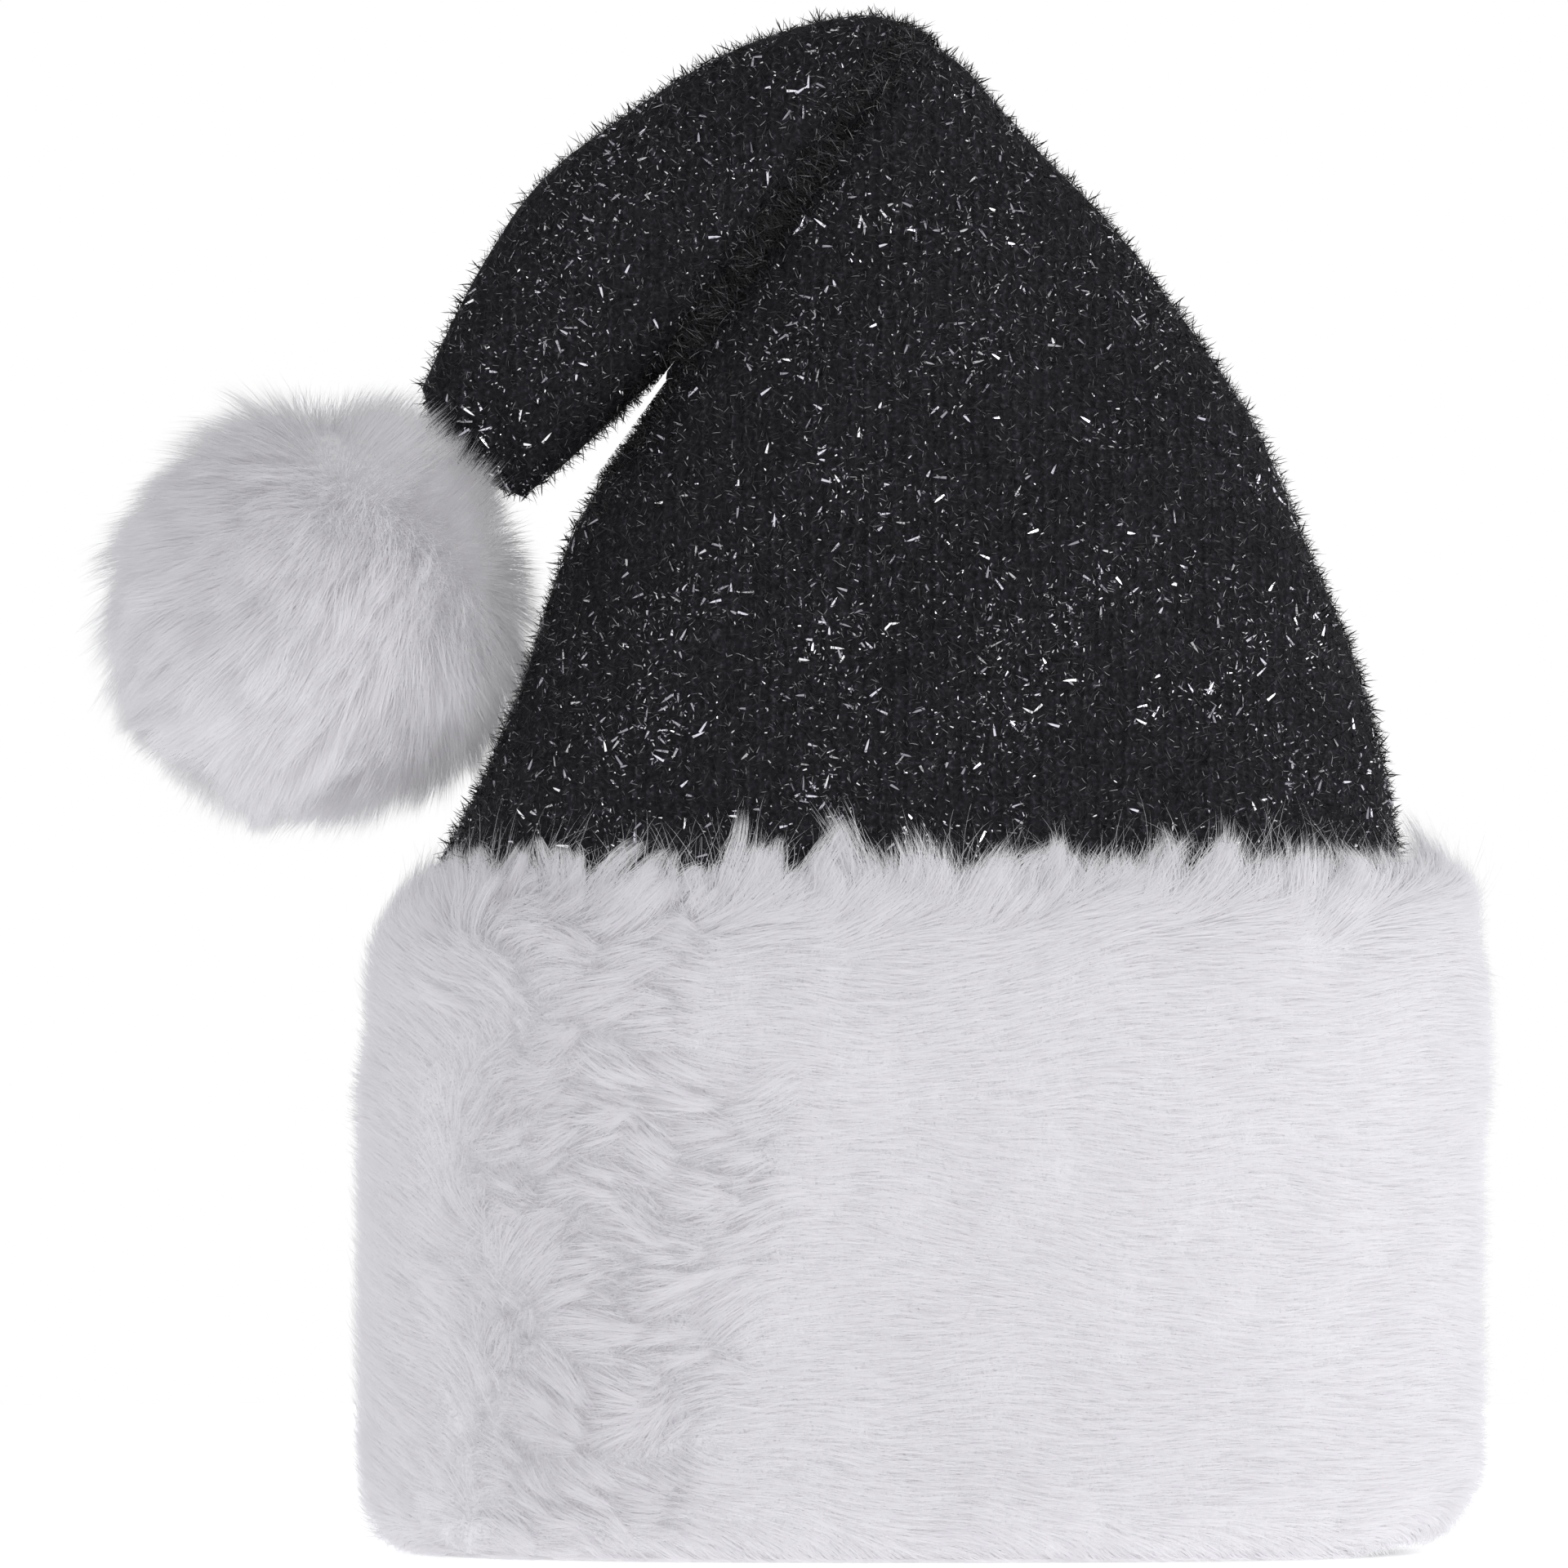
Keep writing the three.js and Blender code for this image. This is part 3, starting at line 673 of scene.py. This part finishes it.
def build_fold_fuzz(rest, normals, side, materials):
    """Fuzz that grows beside the fold and leans over it. side is -1 on the crown, +1 on the tail."""
    down_fold, beside = crease_place(rest[..., [0, 2]])
    offset = beside * side
    reach = np.linalg.norm(CREASE_APEX - CREASE_INNER) - 5.0
    beside_fold = (offset > FOLD_HALF_ZONE) & (offset < 4.0)
    where = beside_fold & (down_fold < reach) & (rest[..., 2] > CUFF_TOP + 40)
    count = FOLD_FUZZ_EACH_SIDE
    root, _, _ = scatter(rest, normals, count, where * 1.0)
    outward = np.stack([np.zeros(count), np.sign(root[:, 1]), np.zeros(count)], -1)
    over = -side * np.array([crease_across[0], 0.0, crease_across[1]])
    down = np.array([crease_along[0], 0.0, crease_along[1]])
    sideways = down * rng.normal(0, 0.8, (count, 1))
    direction = unit(over + sideways + outward * rng.uniform(0.1, 1.0, (count, 1)))
    length = rng.uniform(2.5, 5.5, (count, 1, 1))
    share = np.linspace(0, 1, 4)[None, :, None]
    bend = rng.normal(0, 0.3, (count, 1, 3)) * share ** 2
    paths = root[:, None] + (direction[:, None] * share + bend) * length
    kinds = (rng.uniform(0, 1, count) < 0.25).astype(int)
    name = "fold_fuzz_tail" if side > 0 else "fold_fuzz_crown"
    return ribbon_mesh(name, paths, np.full(count, 0.1), outward, 0.6, kinds, materials)


def build_tuck():
    """The bit of cloth tucked into the fold where the tail meets the crown's left edge."""
    reach = np.linalg.norm(CREASE_APEX - CREASE_INNER)
    corners = [(-30, -1.2), (-1, -1.4), (-0.5, -0.4), (-2, 0.4), (-30, 1.0)]
    outline = np.array([CREASE_APEX + crease_along * (reach + a) + crease_across * b for a, b in corners])
    front, back = [np.insert(outline, 1, depth, axis=1) for depth in (-7.0, 7.0)]
    front_middle, back_middle = [np.repeat(side.mean(0)[None], len(side), 0) for side in (front, back)]
    tuck = grid_mesh("fold_tuck", np.array([front_middle, front, back, back_middle]))
    tuck.data.materials.append(knit_material())
    return tuck


# ---------------------------------------------------------------- fur


def fur_paths(root, normal, comb, length, lift, droop, curl, points=5):
    """Fibres that leave the skin at angle lift and bend over towards comb, down to angle droop at their
    tips. They swing sideways by curl on the way."""
    share = np.linspace(0, 1, points)[None, :]
    angle = droop[:, None] + (lift - droop)[:, None] * (1 - share) ** 1.3
    aside = np.cross(normal, comb)
    swing = curl[:, None] * share
    along = comb[:, None] * np.cos(swing)[..., None] + aside[:, None] * np.sin(swing)[..., None]
    direction = along * np.cos(angle)[..., None] + normal[:, None] * np.sin(angle)[..., None]
    steps = direction[:, :-1] * (length / (points - 1))[:, None, None]
    return np.concatenate([root[:, None], root[:, None] + np.cumsum(steps, 1)], 1)


def lock_owner(root, lock_count, ragged):
    """Shares the roots out into locks. Returns each root's lock and each lock's middle root."""
    chosen = rng.choice(len(root), lock_count, replace=False)
    tree = KDTree(lock_count)
    for i, centre in enumerate(root[chosen]):
        tree.insert(centre, i)
    tree.balance()
    shaken = root + rng.normal(0, ragged, root.shape)
    return np.array([tree.find(p)[1] for p in shaken]), chosen


def gathered(paths, owner, chosen, strength, fray):
    """Draws the fibres of each lock together towards their tips, and frays the tips."""
    share = np.linspace(0, 1, paths.shape[1])[None, :, None]
    pull = strength[:, None, None] * share ** 1.2
    loose = rng.normal(0, 1, (len(paths), 1, 3)) * fray[:, None, None] * share
    return paths + (paths[chosen][owner] - paths) * pull + loose


def per_lock(owner, lock_count, spread):
    return rng.normal(0, spread, lock_count)[owner]


SOFTNESS = 0.75


def soften(ob, normal, fibres):
    """Turns the shading normals of a piece's ribbons by SOFTNESS towards the skin's own normals."""
    per = len(ob.data.vertices) // fibres
    own = np.empty(len(ob.data.vertices) * 3, np.float32)
    ob.data.vertices.foreach_get("normal", own)
    own = own.reshape(-1, 3)
    skin = np.repeat(normal, per, 0)
    own = own * np.sign((own * skin).sum(-1, keepdims=True) + 1e-6)
    ob.data.normals_split_custom_set_from_vertices(unit(mix(own, skin, SOFTNESS)).tolist())


def fur_pieces(name, paths, normal, widths, share_out, material):
    """Splits the fibres into pieces by share_out and makes a mesh of each."""
    facing = rotated(normal, unit(paths[:, -1] - paths[:, 0]), rng.normal(0, 0.35, len(paths)))
    pieces = []
    for i in np.unique(share_out):
        pick = share_out == i
        half_width = rng.uniform(*widths, pick.sum())
        label = "%s_%d" % (name, i + 1)
        piece = ribbon_mesh(label, paths[pick], half_width, facing[pick], 0.2, None, [material])
        soften(piece, normal[pick], pick.sum())
        pieces.append(piece)
    return pieces


# Outlines of the surface that the cuff's fur grows from and of its undercoat: distance outside the
# crown shell, and height above the floor.
ROOT_PROFILE = [
    (3.0, 3.5), (7.5, 2.2), (12.5, 9.0), (13.0, 60.0),
    (13.0, 115.0), (11.8, 146.0), (8.5, 158.0), (2.6, 165.0),
]
COAT_PROFILE = [
    (2.0, 2.5), (7.5, 1.0), (14.2, 9.0), (15.5, 60.0),
    (15.5, 115.0), (13.6, 143.0), (9.2, 155.5), (2.5, 162.0),
]
UNDERCOAT_DIP = 2.5
CUFF_LOOP = 360
CUFF_SECTORS = 12
CUFF_FIBRES = 200000
CUFF_STRAY_HAIRS = 3200
FIBRES_PER_TUFT = 170
FIBRES_PER_LOCK = 30
HAIRS_PER_FAN = 12
# Shortest and longest fibre, and narrowest and widest half width.
CUFF_FUR_LENGTH, CUFF_FUR_WIDTH = (13.5, 17.5), (0.07, 0.115)
STRAY_HAIR_LENGTH, STRAY_HAIR_WIDTH = (11.0, 22.0), (0.04, 0.075)
# Where the fur changes: the ruffled locks lie between two X, the parting is near the left one, and the
# top fringe starts and the bottom hem ends at their own Z.
RUFFLE_LEFT_X = -118
RUFFLE_RIGHT_X = -42
PARTING_X = -104
FRINGE_Z = 151
HEM_Z = 14


def shell_ring(angle, outset):
    """The crown shell's squared ellipse, grown outwards by outset."""
    power = 2 / SHELL_SQUARENESS
    x = np.sign(np.cos(angle)) * np.abs(np.cos(angle)) ** power * (SHELL_HALF_WIDTH + outset)
    y = -np.sign(np.sin(angle)) * np.abs(np.sin(angle)) ** power * (SHELL_HALF_DEPTH + outset)
    return np.stack([x, y], -1)


def cuff_grid(outline):
    """A surface round the cuff, as rows from its inner bottom edge to its inner top edge."""
    profile = spline(outline, 60)
    fine = np.linspace(0, 2 * math.pi, 4000)
    loop = shell_ring(fine, 12.0)
    length = np.concatenate([[0], np.cumsum(np.linalg.norm(np.diff(loop, axis=0), axis=1))])
    angles = np.interp(np.linspace(0, length[-1], CUFF_LOOP, endpoint=False), length, fine)
    flat = shell_ring(angles[None], profile[:, :1])
    z = np.repeat(profile[:, 1:2], CUFF_LOOP, 1)
    return np.concatenate([flat, z[..., None]], -1)


def settled(points):
    """The cuff as it rests: fuller on the right, top left corner drawn in, bottom corners rounded up."""
    x, z = points[..., 0], points[..., 2]
    out = points.copy()
    high = smoothstep((z - 146) / 22.0)
    low = 1 - smoothstep(z / 26.0)
    fuller = 0.6 + 2.0 * smoothstep((z - 98) / 24.0) - 2.4 * low
    out[..., 0] += fuller * smoothstep((x - 40) / 90.0)
    out[..., 0] += 3.5 * smoothstep((x - 100) / 25.0) * high
    out[..., 0] += (4.5 * high + 1.8 * smoothstep((z - 112) / 18.0)) * smoothstep((-92 - x) / 28.0)
    out[..., 0] -= 1.6 * smoothstep((-100 - x) / 30.0)
    rise = 6.3 * smoothstep((x - 90) / 44.0) + 2.6 * smoothstep((-112 - x) / 20.0)
    out[..., 2] += rise * (1 - smoothstep(z / 34.0))
    return out


broad_wander = waves(31, 70.0)
comb_wander = waves(32, 34.0)
comb_detail = waves(33, 17.0)
lift_wander = waves(34, 26.0)


def ruffled(root):
    """How ruffled the cuff's fur is: 1 in the wavy locks on the front's left, 0 where it lies smooth."""
    x, y, _ = root.T
    edge = RUFFLE_RIGHT_X + 12 * broad_wander(root * [0, 0, 1]) + 6 * comb_wander(root)
    side = smoothstep((edge - x) / 16.0) * smoothstep((x - RUFFLE_LEFT_X) / 12.0)
    return side * np.where(y < 0, 1.0, 0.35)


def cuff_comb(root, normal):
    """The way the cuff's fur is brushed: round the cuff, towards +X at the front, up along the top edge
    and down along the bottom edge."""
    up = np.array([0.0, 0.0, 1.0])
    up = unit(up - normal * (normal @ up)[:, None])
    around = np.cross(up, normal)
    x, _, z = root.T
    parting = smoothstep((PARTING_X - x + 5 * comb_wander(root)) / 10.0)
    ruffle = ruffled(root)
    swing = 0.11 * broad_wander(root) + 0.08 * comb_wander(root)
    swing = swing - ruffle * (0.02 + 0.26 * comb_wander(root) + 0.10 * comb_detail(root))
    swing = swing - parting * 2.5
    comb = rotated(around, -normal, swing)
    top = smoothstep((z - FRINGE_Z + 4 * comb_wander(root)) / 9.0)[:, None]
    low = smoothstep((HEM_Z - z + 3 * comb_detail(root)) / 12.0)[:, None]
    lean = 0.2 + 0.5 * comb_wander(root)[:, None]
    comb = unit(comb * (1 - top) + (up + around * lean) * top)
    return unit(comb * (1 - 0.5 * low) - up * 0.5 * low), ruffle, parting, top[:, 0], low[:, 0]


def cuff_fibres(root, normal):
    """The cuff's fibres: short locks that gather into tufts where the fur is ruffled and along the top."""
    count = len(root)
    comb, ruffle, parting, top, low = cuff_comb(root, normal)
    tuft_count, lock_count = count // FIBRES_PER_TUFT, count // FIBRES_PER_LOCK
    tuft, tuft_middle = lock_owner(root, tuft_count, 1.0)
    lock, lock_middle = lock_owner(root, lock_count, 0.6)
    loose = np.clip(ruffle + 0.7 * top, 0, 1.2)
    length = rng.uniform(*CUFF_FUR_LENGTH, count) * (1 + 0.10 * per_lock(lock, lock_count, 1.0) * loose)
    length = length * mix(1.0, rng.uniform(0.6, 1.3, count), top)
    length = length * (1 - 0.3 * low - 0.22 * top - 0.08 * parting)
    length = length * np.clip(1 + (0.10 * ruffle + 0.34 * top) * per_lock(tuft, tuft_count, 1.0), 0.45, 1.6)
    swing = (0.03 + 0.09 * loose) * per_lock(lock, lock_count, 1.0)
    swing = swing + (0.20 * ruffle + 0.32 * top) * per_lock(tuft, tuft_count, 1.0)
    swing = swing + rng.normal(0, 0.06, count) + rng.normal(0, 0.14, count) * np.maximum(top, low)
    comb = rotated(comb, normal, swing)
    lift = 0.85 + 0.08 * lift_wander(root) + per_lock(tuft, tuft_count, 0.14) * loose
    lift = lift + rng.normal(0, 0.10, count) - 0.25 * top - 0.25 * low
    droop = -0.08 + rng.normal(0, 0.07, count) - 0.3 * low
    droop = droop + (0.15 + per_lock(tuft, tuft_count, 0.15)) * loose
    curl = rng.normal(0, 0.12, count)
    curl = curl + loose * (0.14 * broad_wander(root) + per_lock(tuft, tuft_count, 0.14))
    paths = fur_paths(root, normal, comb, length, lift, droop, curl)
    paths = gathered(paths, lock, lock_middle, np.clip(0.03 + 0.45 * loose, 0, 0.9), 0.45 + 0.35 * loose)
    paths = gathered(paths, tuft, tuft_middle, np.clip(0.42 * ruffle + 0.35 * top, 0, 0.6), np.zeros(count))
    paths = settled(paths)
    paths[..., 2] = np.maximum(paths[..., 2], 0.3 + 0.8 * rng.uniform(0, 1, (count, 1)))
    return paths


def build_cuff_undercoat():
    """The matted wool under the cuff's long fibres. It lies a little deeper where they are ruffled."""
    coat = cuff_grid(COAT_PROFILE)
    under_locks = ruffled(coat.reshape(-1, 3)).reshape(coat.shape[:2])
    deeper = UNDERCOAT_DIP * under_locks * (coat[..., 2] > 9)
    undercoat = grid_mesh("cuff_undercoat", settled(coat - grid_normals(coat) * deeper[..., None]))
    undercoat.data.materials.append(undercoat_material())
    return undercoat


def build_cuff():
    undercoat = build_cuff_undercoat()
    grid = cuff_grid(ROOT_PROFILE)
    normals = grid_normals(grid)
    height = grid[..., 2]
    crowded = 1 + 2.0 * smoothstep((height - 145) / 12.0) + 1.0 * smoothstep((12 - height) / 8.0)
    root, normal, _ = scatter(grid, normals, CUFF_FIBRES, crowded)
    paths = cuff_fibres(root, normal)
    bearing = np.arctan2(root[:, 1], root[:, 0])
    sector = ((bearing + math.pi) / (2 * math.pi) * CUFF_SECTORS).astype(int) % CUFF_SECTORS
    material = fur_material("cuff_fur_fibre", CUFF_PAINTED_GLOW)
    pieces = [undercoat] + fur_pieces("cuff_fur", paths, normal, CUFF_FUR_WIDTH, sector, material)
    return pieces + build_stray_hairs(grid, normals, material)


def build_stray_hairs(grid, normals, material):
    """Single long hairs that stand out of the top edge in fans."""
    count = CUFF_STRAY_HAIRS
    root, normal, _ = scatter(grid, normals, count, smoothstep((grid[..., 2] - 148) / 8.0))
    fan_count = count // HAIRS_PER_FAN
    fan, _ = lock_owner(root, fan_count, 1.5)
    sway = 0.2 + per_lock(fan, fan_count, 0.45) + rng.normal(0, 0.25, count)
    up = np.array([0.0, 0.0, 1.0])
    aside = np.cross(up, normal)
    comb = unit(up - normal * (normal @ up)[:, None] + aside * sway[:, None])
    length = rng.uniform(*STRAY_HAIR_LENGTH, count) * (1 + per_lock(fan, fan_count, 0.15))
    lift = rng.normal(0.5, 0.2, count)
    droop = rng.normal(0.05, 0.25, count)
    curl = rng.normal(0, 0.5, count)
    paths = fur_paths(root, normal, comb, length, lift, droop, curl, 7)
    paths = settled(paths)
    together = np.zeros(count, int)
    return fur_pieces("cuff_stray_hairs", paths, normal, STRAY_HAIR_WIDTH, together, material)


def ball(centre, radius):
    rows = np.linspace(-0.5, 0.5, 70)[:, None] * math.pi
    columns = np.linspace(0, 2 * math.pi, 140, endpoint=False)[None]
    x, y = np.cos(rows) * np.cos(columns), np.cos(rows) * np.sin(columns)
    z = np.sin(rows) + 0 * columns
    return centre + np.stack([x, y, z], -1) * radius


def pompom_fibres(root, normal):
    """The pom-pom's fibres: they flow away from the tail, and stand up beside it and where they meet."""
    count = len(root)
    whirl = np.cross(normal, POMPOM_AXIS)
    drag = -0.85 * POMPOM_AXIS + np.array([0.05, -0.05, -0.45])
    drag = drag - normal * (normal @ drag)[:, None]
    rough = np.stack([comb_wander(root), comb_wander(root + 90), comb_wander(root - 90)], -1)
    by_tail = smoothstep((normal @ POMPOM_AXIS - 0.55) / 0.35)
    comb = (whirl * 0.3 + drag) * (1 - by_tail)[:, None] + 0.30 * rough
    comb = comb - normal * (comb * normal).sum(-1, keepdims=True)
    upright = 1 - smoothstep(np.linalg.norm(comb, axis=-1) / 1.1)
    comb = unit(comb)
    settling = 1 + np.where(normal[:, 2] > 0, 0.33, 0.12) * np.minimum(normal[:, 0], 0) * normal[:, 2]
    lock_count = count // FIBRES_PER_POMPOM_LOCK
    owner, chosen = lock_owner(root, lock_count, 1.3)
    length = rng.uniform(0.8, 1.0, count) * POMPOM_FUR * settling * (1 - 0.2 * upright)
    tufted = np.clip(per_lock(owner, lock_count, 0.12), -0.25, 0.25)
    length = length * (1 + tufted - 0.05 * by_tail)
    lift = 1.2 + 0.08 * lift_wander(root) + rng.normal(0, 0.08, count)
    droop = 0.38 + per_lock(owner, lock_count, 0.14) + rng.normal(0, 0.10, count)
    droop = droop + 0.75 * np.maximum(by_tail, upright)
    curl = per_lock(owner, lock_count, 0.28) + rng.normal(0, 0.15, count)
    paths = fur_paths(root, normal, comb, length, lift, droop, curl)
    strength = np.clip(0.36 + rng.normal(0, 0.15, count), 0, 0.9)
    return gathered(paths, owner, chosen, strength, np.full(count, 0.7))


def build_pompom():
    undercoat = grid_mesh("pompom_undercoat", ball(POMPOM_CENTRE, POMPOM_COAT_R))
    undercoat.data.materials.append(undercoat_material())
    normal = unit(rng.normal(size=(POMPOM_FIBRES, 3)))
    paths = pompom_fibres(POMPOM_CENTRE + normal * POMPOM_ROOT_R, normal)
    quarter = (normal[:, 0] > 0).astype(int) + 2 * (normal[:, 1] > 0).astype(int)
    material = fur_material("pompom_fur_fibre", POMPOM_PAINTED_GLOW)
    return [undercoat] + fur_pieces("pompom_fur", paths, normal, POMPOM_FUR_WIDTH, quarter, material)


# ---------------------------------------------------------------- put together

cloth, lining, over_fold = build_cloth()


def frame_point(xz, y=0.0):
    """A point of the frame, in metres, from X and Z in hat millimetres."""
    return ((xz[0] + OPENING_X) * MM, y, xz[1] * MM)


for piece in cloth:
    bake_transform(piece)
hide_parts("crown_front_panel", "crown_back_panel", "tail_front_panel", "tail_back_panel")

tuck = build_tuck()
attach(tuck, "hat_body")

for piece, body in ((over_fold[0], "hat_body"), (over_fold[1], "tail")):
    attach(piece, body)
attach(lining, "hat_body")
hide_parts("crown_lining")

cuff = build_cuff()
for piece in cuff:
    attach(piece, "hat_body")
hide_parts("cuff_pile")

pompom = build_pompom()
for piece in pompom:
    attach(piece, "pompom")
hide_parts("pompom_pile")

black_cloth = cloth_material("black_jersey", grey(0.006), grey(0.02), 900.0, 0.75, 0.0004)
backing = cloth_material("fur_backing_knit", grey(0.55), grey(0.7), 800.0, 0.85, 0.0004)
black_thread = cloth_material("black_thread", grey(0.004), grey(0.015), 2500.0, 0.5, 0.0002)
white_thread = cloth_material("white_thread", grey(0.6), grey(0.8), 2500.0, 0.5, 0.0002)
satin = cloth_material("label_satin", grey(0.72), grey(0.82), 2000.0, 0.35, 0.0001)
NODE_MATERIALS = {
    "crown_right_seam": black_thread, "crown_left_seam": black_thread,
    "cuff_ground_fabric": backing, "cuff_back_seam": white_thread, "brim_seam_thread": white_thread,
    "inner_band": black_cloth, "care_label": satin, "tail_outer_seam": black_thread,
    "tail_inner_seam": black_thread, "tip_gathering_thread": black_thread, "hanging_loop": white_thread,
    "thread_shank": white_thread, "pompom_skin": backing, "pompom_filling": white_thread,
    "pompom_mouth_thread": white_thread,
}
for node, material in NODE_MATERIALS.items():
    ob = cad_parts[node]
    ob.data.materials.clear()
    ob.data.materials.append(material)


# ---------------------------------------------------------------- stage, light and camera

# Place and aim in metres, size in metres, and power in watts.
LIGHTS = {
    "key": ((1.3, -1.2, 0.9), (0, 0, 0.2), 1.2, 10.6),
    "side": ((1.6, -0.2, 0.35), (0, 0, 0.15), 0.8, 2.2),
    "fill": ((-1.0, -1.5, 0.5), (0, 0, 0.2), 1.6, 4.0),
    "back": ((-0.2, 1.8, 0.8), (0, 0, 0.2), 1.4, 7.0),
}


def build_stage():
    bpy.ops.mesh.primitive_circle_add(vertices=96, radius=1.2, fill_type="NGON", location=(0, 0, 0))
    floor = bpy.context.object
    floor.name = "pale_floor"
    m = Nodes("floor_paper")
    m.surface.inputs["Base Color"].default_value = (0.93, 0.93, 0.94, 1)
    m.surface.inputs["Roughness"].default_value = 0.9
    m.surface.inputs["Emission Color"].default_value = (1, 1, 1, 1)
    m.surface.inputs["Emission Strength"].default_value = 0.45
    floor.data.materials.append(m.material)

    world = bpy.data.worlds.new("studio")
    bpy.context.scene.world = world
    world.use_nodes = True
    tree = world.node_tree
    seen = tree.nodes.new("ShaderNodeBackground")
    seen.inputs["Color"].default_value = (1, 1, 1, 1)
    seen.inputs["Strength"].default_value = 1.0
    lit = tree.nodes["Background"]
    lit.inputs["Color"].default_value = (0.96, 0.97, 1.0, 1)
    lit.inputs["Strength"].default_value = 0.50
    path = tree.nodes.new("ShaderNodeLightPath")
    choose = tree.nodes.new("ShaderNodeMixShader")
    tree.links.new(path.outputs["Is Camera Ray"], choose.inputs["Fac"])
    tree.links.new(lit.outputs["Background"], choose.inputs[1])
    tree.links.new(seen.outputs["Background"], choose.inputs[2])
    tree.links.new(choose.outputs["Shader"], tree.nodes["World Output"].inputs["Surface"])


def area_light(name, place, target, size, power):
    light = bpy.data.lights.new(name, "AREA")
    light.shape = "DISK"
    light.size = size
    light.energy = power
    ob = bpy.data.objects.new(name, light)
    bpy.context.scene.collection.objects.link(ob)
    ob.location = place
    ob.rotation_euler = (Vector(target) - Vector(place)).to_track_quat("-Z", "Y").to_euler()


VIEW_WIDTH = 384.0
VIEW_MIDDLE = np.array([-33.5, 188.0])
CAMERA_DISTANCE = 5.0


def build_camera():
    camera = bpy.data.cameras.new("camera")
    camera.sensor_width = 36.0
    camera.lens = camera.sensor_width * CAMERA_DISTANCE / (VIEW_WIDTH * MM)
    ob = bpy.data.objects.new("camera", camera)
    bpy.context.scene.collection.objects.link(ob)
    ob.location = frame_point(VIEW_MIDDLE, -CAMERA_DISTANCE)
    ob.rotation_euler = (math.pi / 2, 0, 0)
    bpy.context.scene.camera = ob


build_stage()
for name, light in LIGHTS.items():
    area_light(name, *light)
build_camera()
bpy.context.scene.view_settings.view_transform = "Standard"
